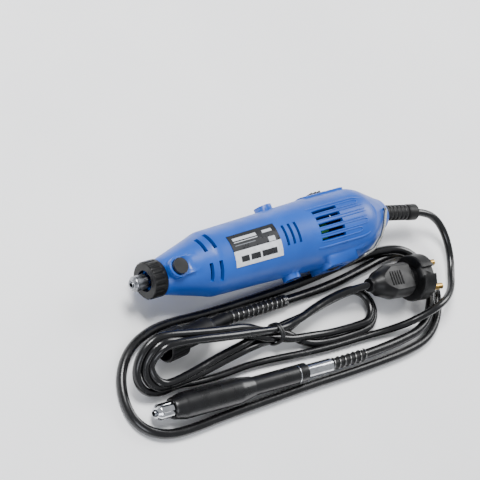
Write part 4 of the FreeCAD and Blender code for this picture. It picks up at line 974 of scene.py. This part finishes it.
def bead_on_case(name, xs, degrees, high=0.0007, wide=0.0016, sides=9):
    """A raised rib on the case: a half-round bead along a path given by x and the angle round the axis.

    A point of the bead is the case's surface at (x, angle) moved out by high * sin b and across by
    wide / 2 * cos b, with b from -25 to 205 degrees, so that its feet are under the surface.
    """
    xs = np.asarray(xs)
    a = np.radians(np.asarray(degrees))
    r = case_radius(xs)
    out = np.stack([np.zeros_like(a), np.sin(a), np.cos(a)], -1)
    path = np.stack([xs, r * np.sin(a), r * np.cos(a)], -1)
    tangent = unit(np.gradient(path, axis=0))
    across = unit(np.cross(tangent, out))
    lift = np.cross(across, tangent)
    b = np.linspace(np.radians(-25), np.radians(205), sides)
    taper = np.minimum(1.0, np.minimum(np.arange(len(xs)), np.arange(len(xs))[::-1]) / 2.0 + 0.15)
    rings = (
        path[:, None, :]
        + (wide / 2 * np.cos(b))[None, :, None] * across[:, None, :]
        + (high * np.sin(b))[None, :, None] * lift[:, None, :] * taper[:, None, None]
    )
    rings = rings + np.array((BENCH[0], AXIS_Y, AXIS_Z))
    return shown(name, mesh_of(name, *net(rings)), case_blue)


def arch(x0, x1, low, high, bow):
    """Path of a rib that runs back along one side, round an arched end and forward again."""
    there = np.linspace(x0, x1 - bow, 14)
    back = there[::-1]
    t = np.linspace(0, np.pi, 18)[1:-1]
    middle = (low + high) / 2
    half = (high - low) / 2
    xs = np.concatenate([there, x1 - bow + bow * np.sin(t), back])
    degrees = np.concatenate([np.full(14, low), middle - half * np.cos(t), np.full(14, high)])
    return xs, degrees


# Each louvre's middle, in degrees round the case, and how far back its arched end reaches.
LOUVRES = ((-25.0, 0.180), (-13.5, 0.1865), (-2.0, 0.1895), (10.0, 0.1885), (22.0, 0.184))
LOUVRE_START = 0.1402
LOUVRE_HALF_DEGREES = 3.9

bead_on_case("panel_rib", *arch(0.137, 0.199, -38.0, 31.0, 0.021))
for number, (middle, reach) in enumerate(LOUVRES):
    groove_edge = arch(
        LOUVRE_START,
        reach,
        middle - LOUVRE_HALF_DEGREES,
        middle + LOUVRE_HALF_DEGREES,
        0.0035,
    )
    bead_on_case(f"louvre_rib_{number + 1}", *groove_edge, high=0.00055, wide=0.0010)

# ---------------------------------------------------------------- handpiece and plug details

# The handpiece's front end on the bench, and the way it is turned there.
HANDPIECE = BENCH + np.array((-0.022, -0.0855, 0.0095))
HANDPIECE_YAW = math.radians(-2.7)


def lathe(name, profile, origin, axis, side, finish, body="tool", sides=72):
    """A closed ring of revolution: each profile point (s, r) becomes a circle of radius r, s along the axis.

    The axis starts at origin, and a circle's points are r (cos a * side + sin a * (axis x side)).
    """
    profile = np.asarray(profile)
    axis = np.asarray(axis)
    a = np.linspace(0, 2 * np.pi, sides, endpoint=False)
    round_it = np.cos(a)[:, None] * np.asarray(side) + np.sin(a)[:, None] * np.cross(axis, side)
    rings = origin + profile[None, :, :1] * axis + profile[None, :, 1:] * round_it[:, None, :]
    n, m, _ = rings.shape
    points = rings.reshape(-1, 3)
    i = np.arange(n)[:, None]
    j = np.arange(m)[None, :]
    quads = np.stack([i * m + j, i * m + (j + 1) % m, (i + 1) % n * m + (j + 1) % m, (i + 1) % n * m + j], -1)
    return shown(name, mesh_of(name, points, quads.reshape(-1, 4).tolist()), finish, body)


def band(start, end, inner, outer, round_off):
    """Profile of a flat ring with rounded outer corners."""
    t = np.linspace(0, np.pi / 2, 6)
    first = np.stack([start + round_off * (1 - np.sin(t)), outer - round_off * (1 - np.cos(t))], -1)[::-1]
    last = np.stack([end - round_off * (1 - np.sin(t)), outer - round_off * (1 - np.cos(t))], -1)
    return np.vstack([[(start, inner)], first, last, [(end, inner)]])


# The bright ring let into the rear shell, 0.6 mm wide.
lathe(
    "handpiece_trim_ring",
    band(0.1256, 0.1262, 0.0060, 0.00692, 0.0001),
    HANDPIECE,
    (math.cos(HANDPIECE_YAW), math.sin(HANDPIECE_YAW), 0.0),
    (-math.sin(HANDPIECE_YAW), math.cos(HANDPIECE_YAW), 0.0),
    chrome_plate,
)

# The raised collar of the case round the lock button, a little proud of the boss that it stands on.
lathe(
    "lock_button_collar",
    band(0.0095, 0.01735, 0.0059, 0.0074, 0.0005),
    BENCH + np.array((0.019, 0.0, AXIS_Z)),
    (0.0, 0.0, 1.0),
    (1.0, 0.0, 0.0),
    case_blue,
)

# The plug's back end, where the lead goes in, its turn and its dip, and how high its flats stand.
PLUG = BENCH + np.array((0.188, -0.048, 0.022))
PLUG_YAW = math.radians(-5.2)
PLUG_DIP = math.radians(4.65)
PLUG_FLAT = 0.0094

# The finger ribs on each flat: how many, where the first is, their pitch and half their length.
FINGER_RIBS = 5
RIB_START = 0.0165
RIB_PITCH = 0.0026
RIB_HALF_LONG = 0.0056


def plug_axes():
    """The plug's own directions: along its pins, across its flats and up off its top flat."""
    along = np.array(
        (
            math.cos(PLUG_YAW) * math.cos(PLUG_DIP),
            math.sin(PLUG_YAW) * math.cos(PLUG_DIP),
            -math.sin(PLUG_DIP),
        )
    )
    across = np.array((-math.sin(PLUG_YAW), math.cos(PLUG_YAW), 0.0))
    return along, across, np.cross(along, across)


def finger_rib(name, s, half_long, up_sign, high=0.0008, wide=0.0013):
    """A rib across the plug's flat: half-round section high * sin b by wide / 2 * cos b, with sunk ends."""
    along, across, up = plug_axes()
    t = np.linspace(-1, 1, 25)
    drop = 1 - np.sqrt(np.clip(1 - np.abs(t) ** 8, 0, 1))
    b = np.linspace(np.radians(-20), np.radians(200), 9)
    middle = PLUG + along * s + up * up_sign * PLUG_FLAT
    rings = (
        middle
        + half_long * t[:, None, None] * across
        + wide / 2 * np.cos(b)[None, :, None] * along
        + (high * (np.sin(b)[None, :] - drop[:, None]))[:, :, None] * up * up_sign
    )
    return shown(name, mesh_of(name, *net(rings)), plug_pvc)


for number in range(FINGER_RIBS):
    finger_rib(f"plug_rib_top_{number + 1}", RIB_START + RIB_PITCH * number, RIB_HALF_LONG, 1)
    finger_rib(f"plug_rib_under_{number + 1}", RIB_START + RIB_PITCH * number, RIB_HALF_LONG, -1)

# ---------------------------------------------------------------- floor, lights and camera


def floor():
    """A pale matt bench top."""
    material, shader, place = started("pale_bench", IOR=1.45)
    cloud = spots(material, place, 0.12, 3)
    fine = spots(material, place, 0.002, 2)
    joined(material, shader, "Base Color", two_tones(material, cloud, "f4f4f5", "fafafa"))
    joined(material, shader, "Roughness", spread(material, cloud, 0.6, 0.75))
    joined(material, shader, "Normal", raised(material, fine, 0.00001))
    mesh = bpy.data.meshes.new("bench_top")
    half = 4.0
    corners = [(-half, -half, 0), (half, -half, 0), (half, half, 0), (-half, half, 0)]
    mesh.from_pydata(corners, [], [(0, 1, 2, 3)])
    mesh.materials.append(material)
    made = bpy.data.objects.new("bench_top", mesh)
    bpy.context.scene.collection.objects.link(made)


floor()


def soft_light(name, place, aim, size, power, colour="ffffff"):
    """A square soft box at place, turned to face aim."""
    data = bpy.data.lights.new(name, "AREA")
    data.size = size
    data.energy = power
    data.color = linear(colour)[:3]
    made = bpy.data.objects.new(name, data)
    made.location = place
    made.rotation_mode = "QUATERNION"
    made.rotation_quaternion = (Vector(aim) - Vector(place)).to_track_quat("-Z", "Y")
    bpy.context.scene.collection.objects.link(made)


soft_light("key", (-0.35, 0.55, 1.15), (0, 0, 0.02), 0.45, 26.0)
soft_light("fill", (-0.7, -0.9, 0.9), (0, 0, 0.02), 0.7, 7.0, "f4f7ff")
soft_light("back", (0.9, 0.2, 0.6), (0, 0, 0.02), 0.5, 8.0)

world = bpy.data.worlds.new("studio")
bpy.context.scene.world = world
world.use_nodes = True
world.node_tree.nodes["Background"].inputs["Color"].default_value = linear("eef1f5")
world.node_tree.nodes["Background"].inputs["Strength"].default_value = 0.55

lens = bpy.data.cameras.new("camera")
lens.lens = 147.75
lens.sensor_width = 36.0
lens.clip_start = 0.05
lens.clip_end = 20.0
camera = bpy.data.objects.new("camera", lens)
right = Vector((0.7592, -0.3757, 0.5314))
up = Vector((0.2127, 0.915, 0.3429))
back = Vector((-0.6151, -0.1473, 0.7746))
turned_to = Matrix((right, up, back)).transposed().to_4x4()
camera.matrix_world = Matrix.Translation((-0.8832, -0.15992, 1.102)) @ turned_to
bpy.context.scene.collection.objects.link(camera)
bpy.context.scene.camera = camera
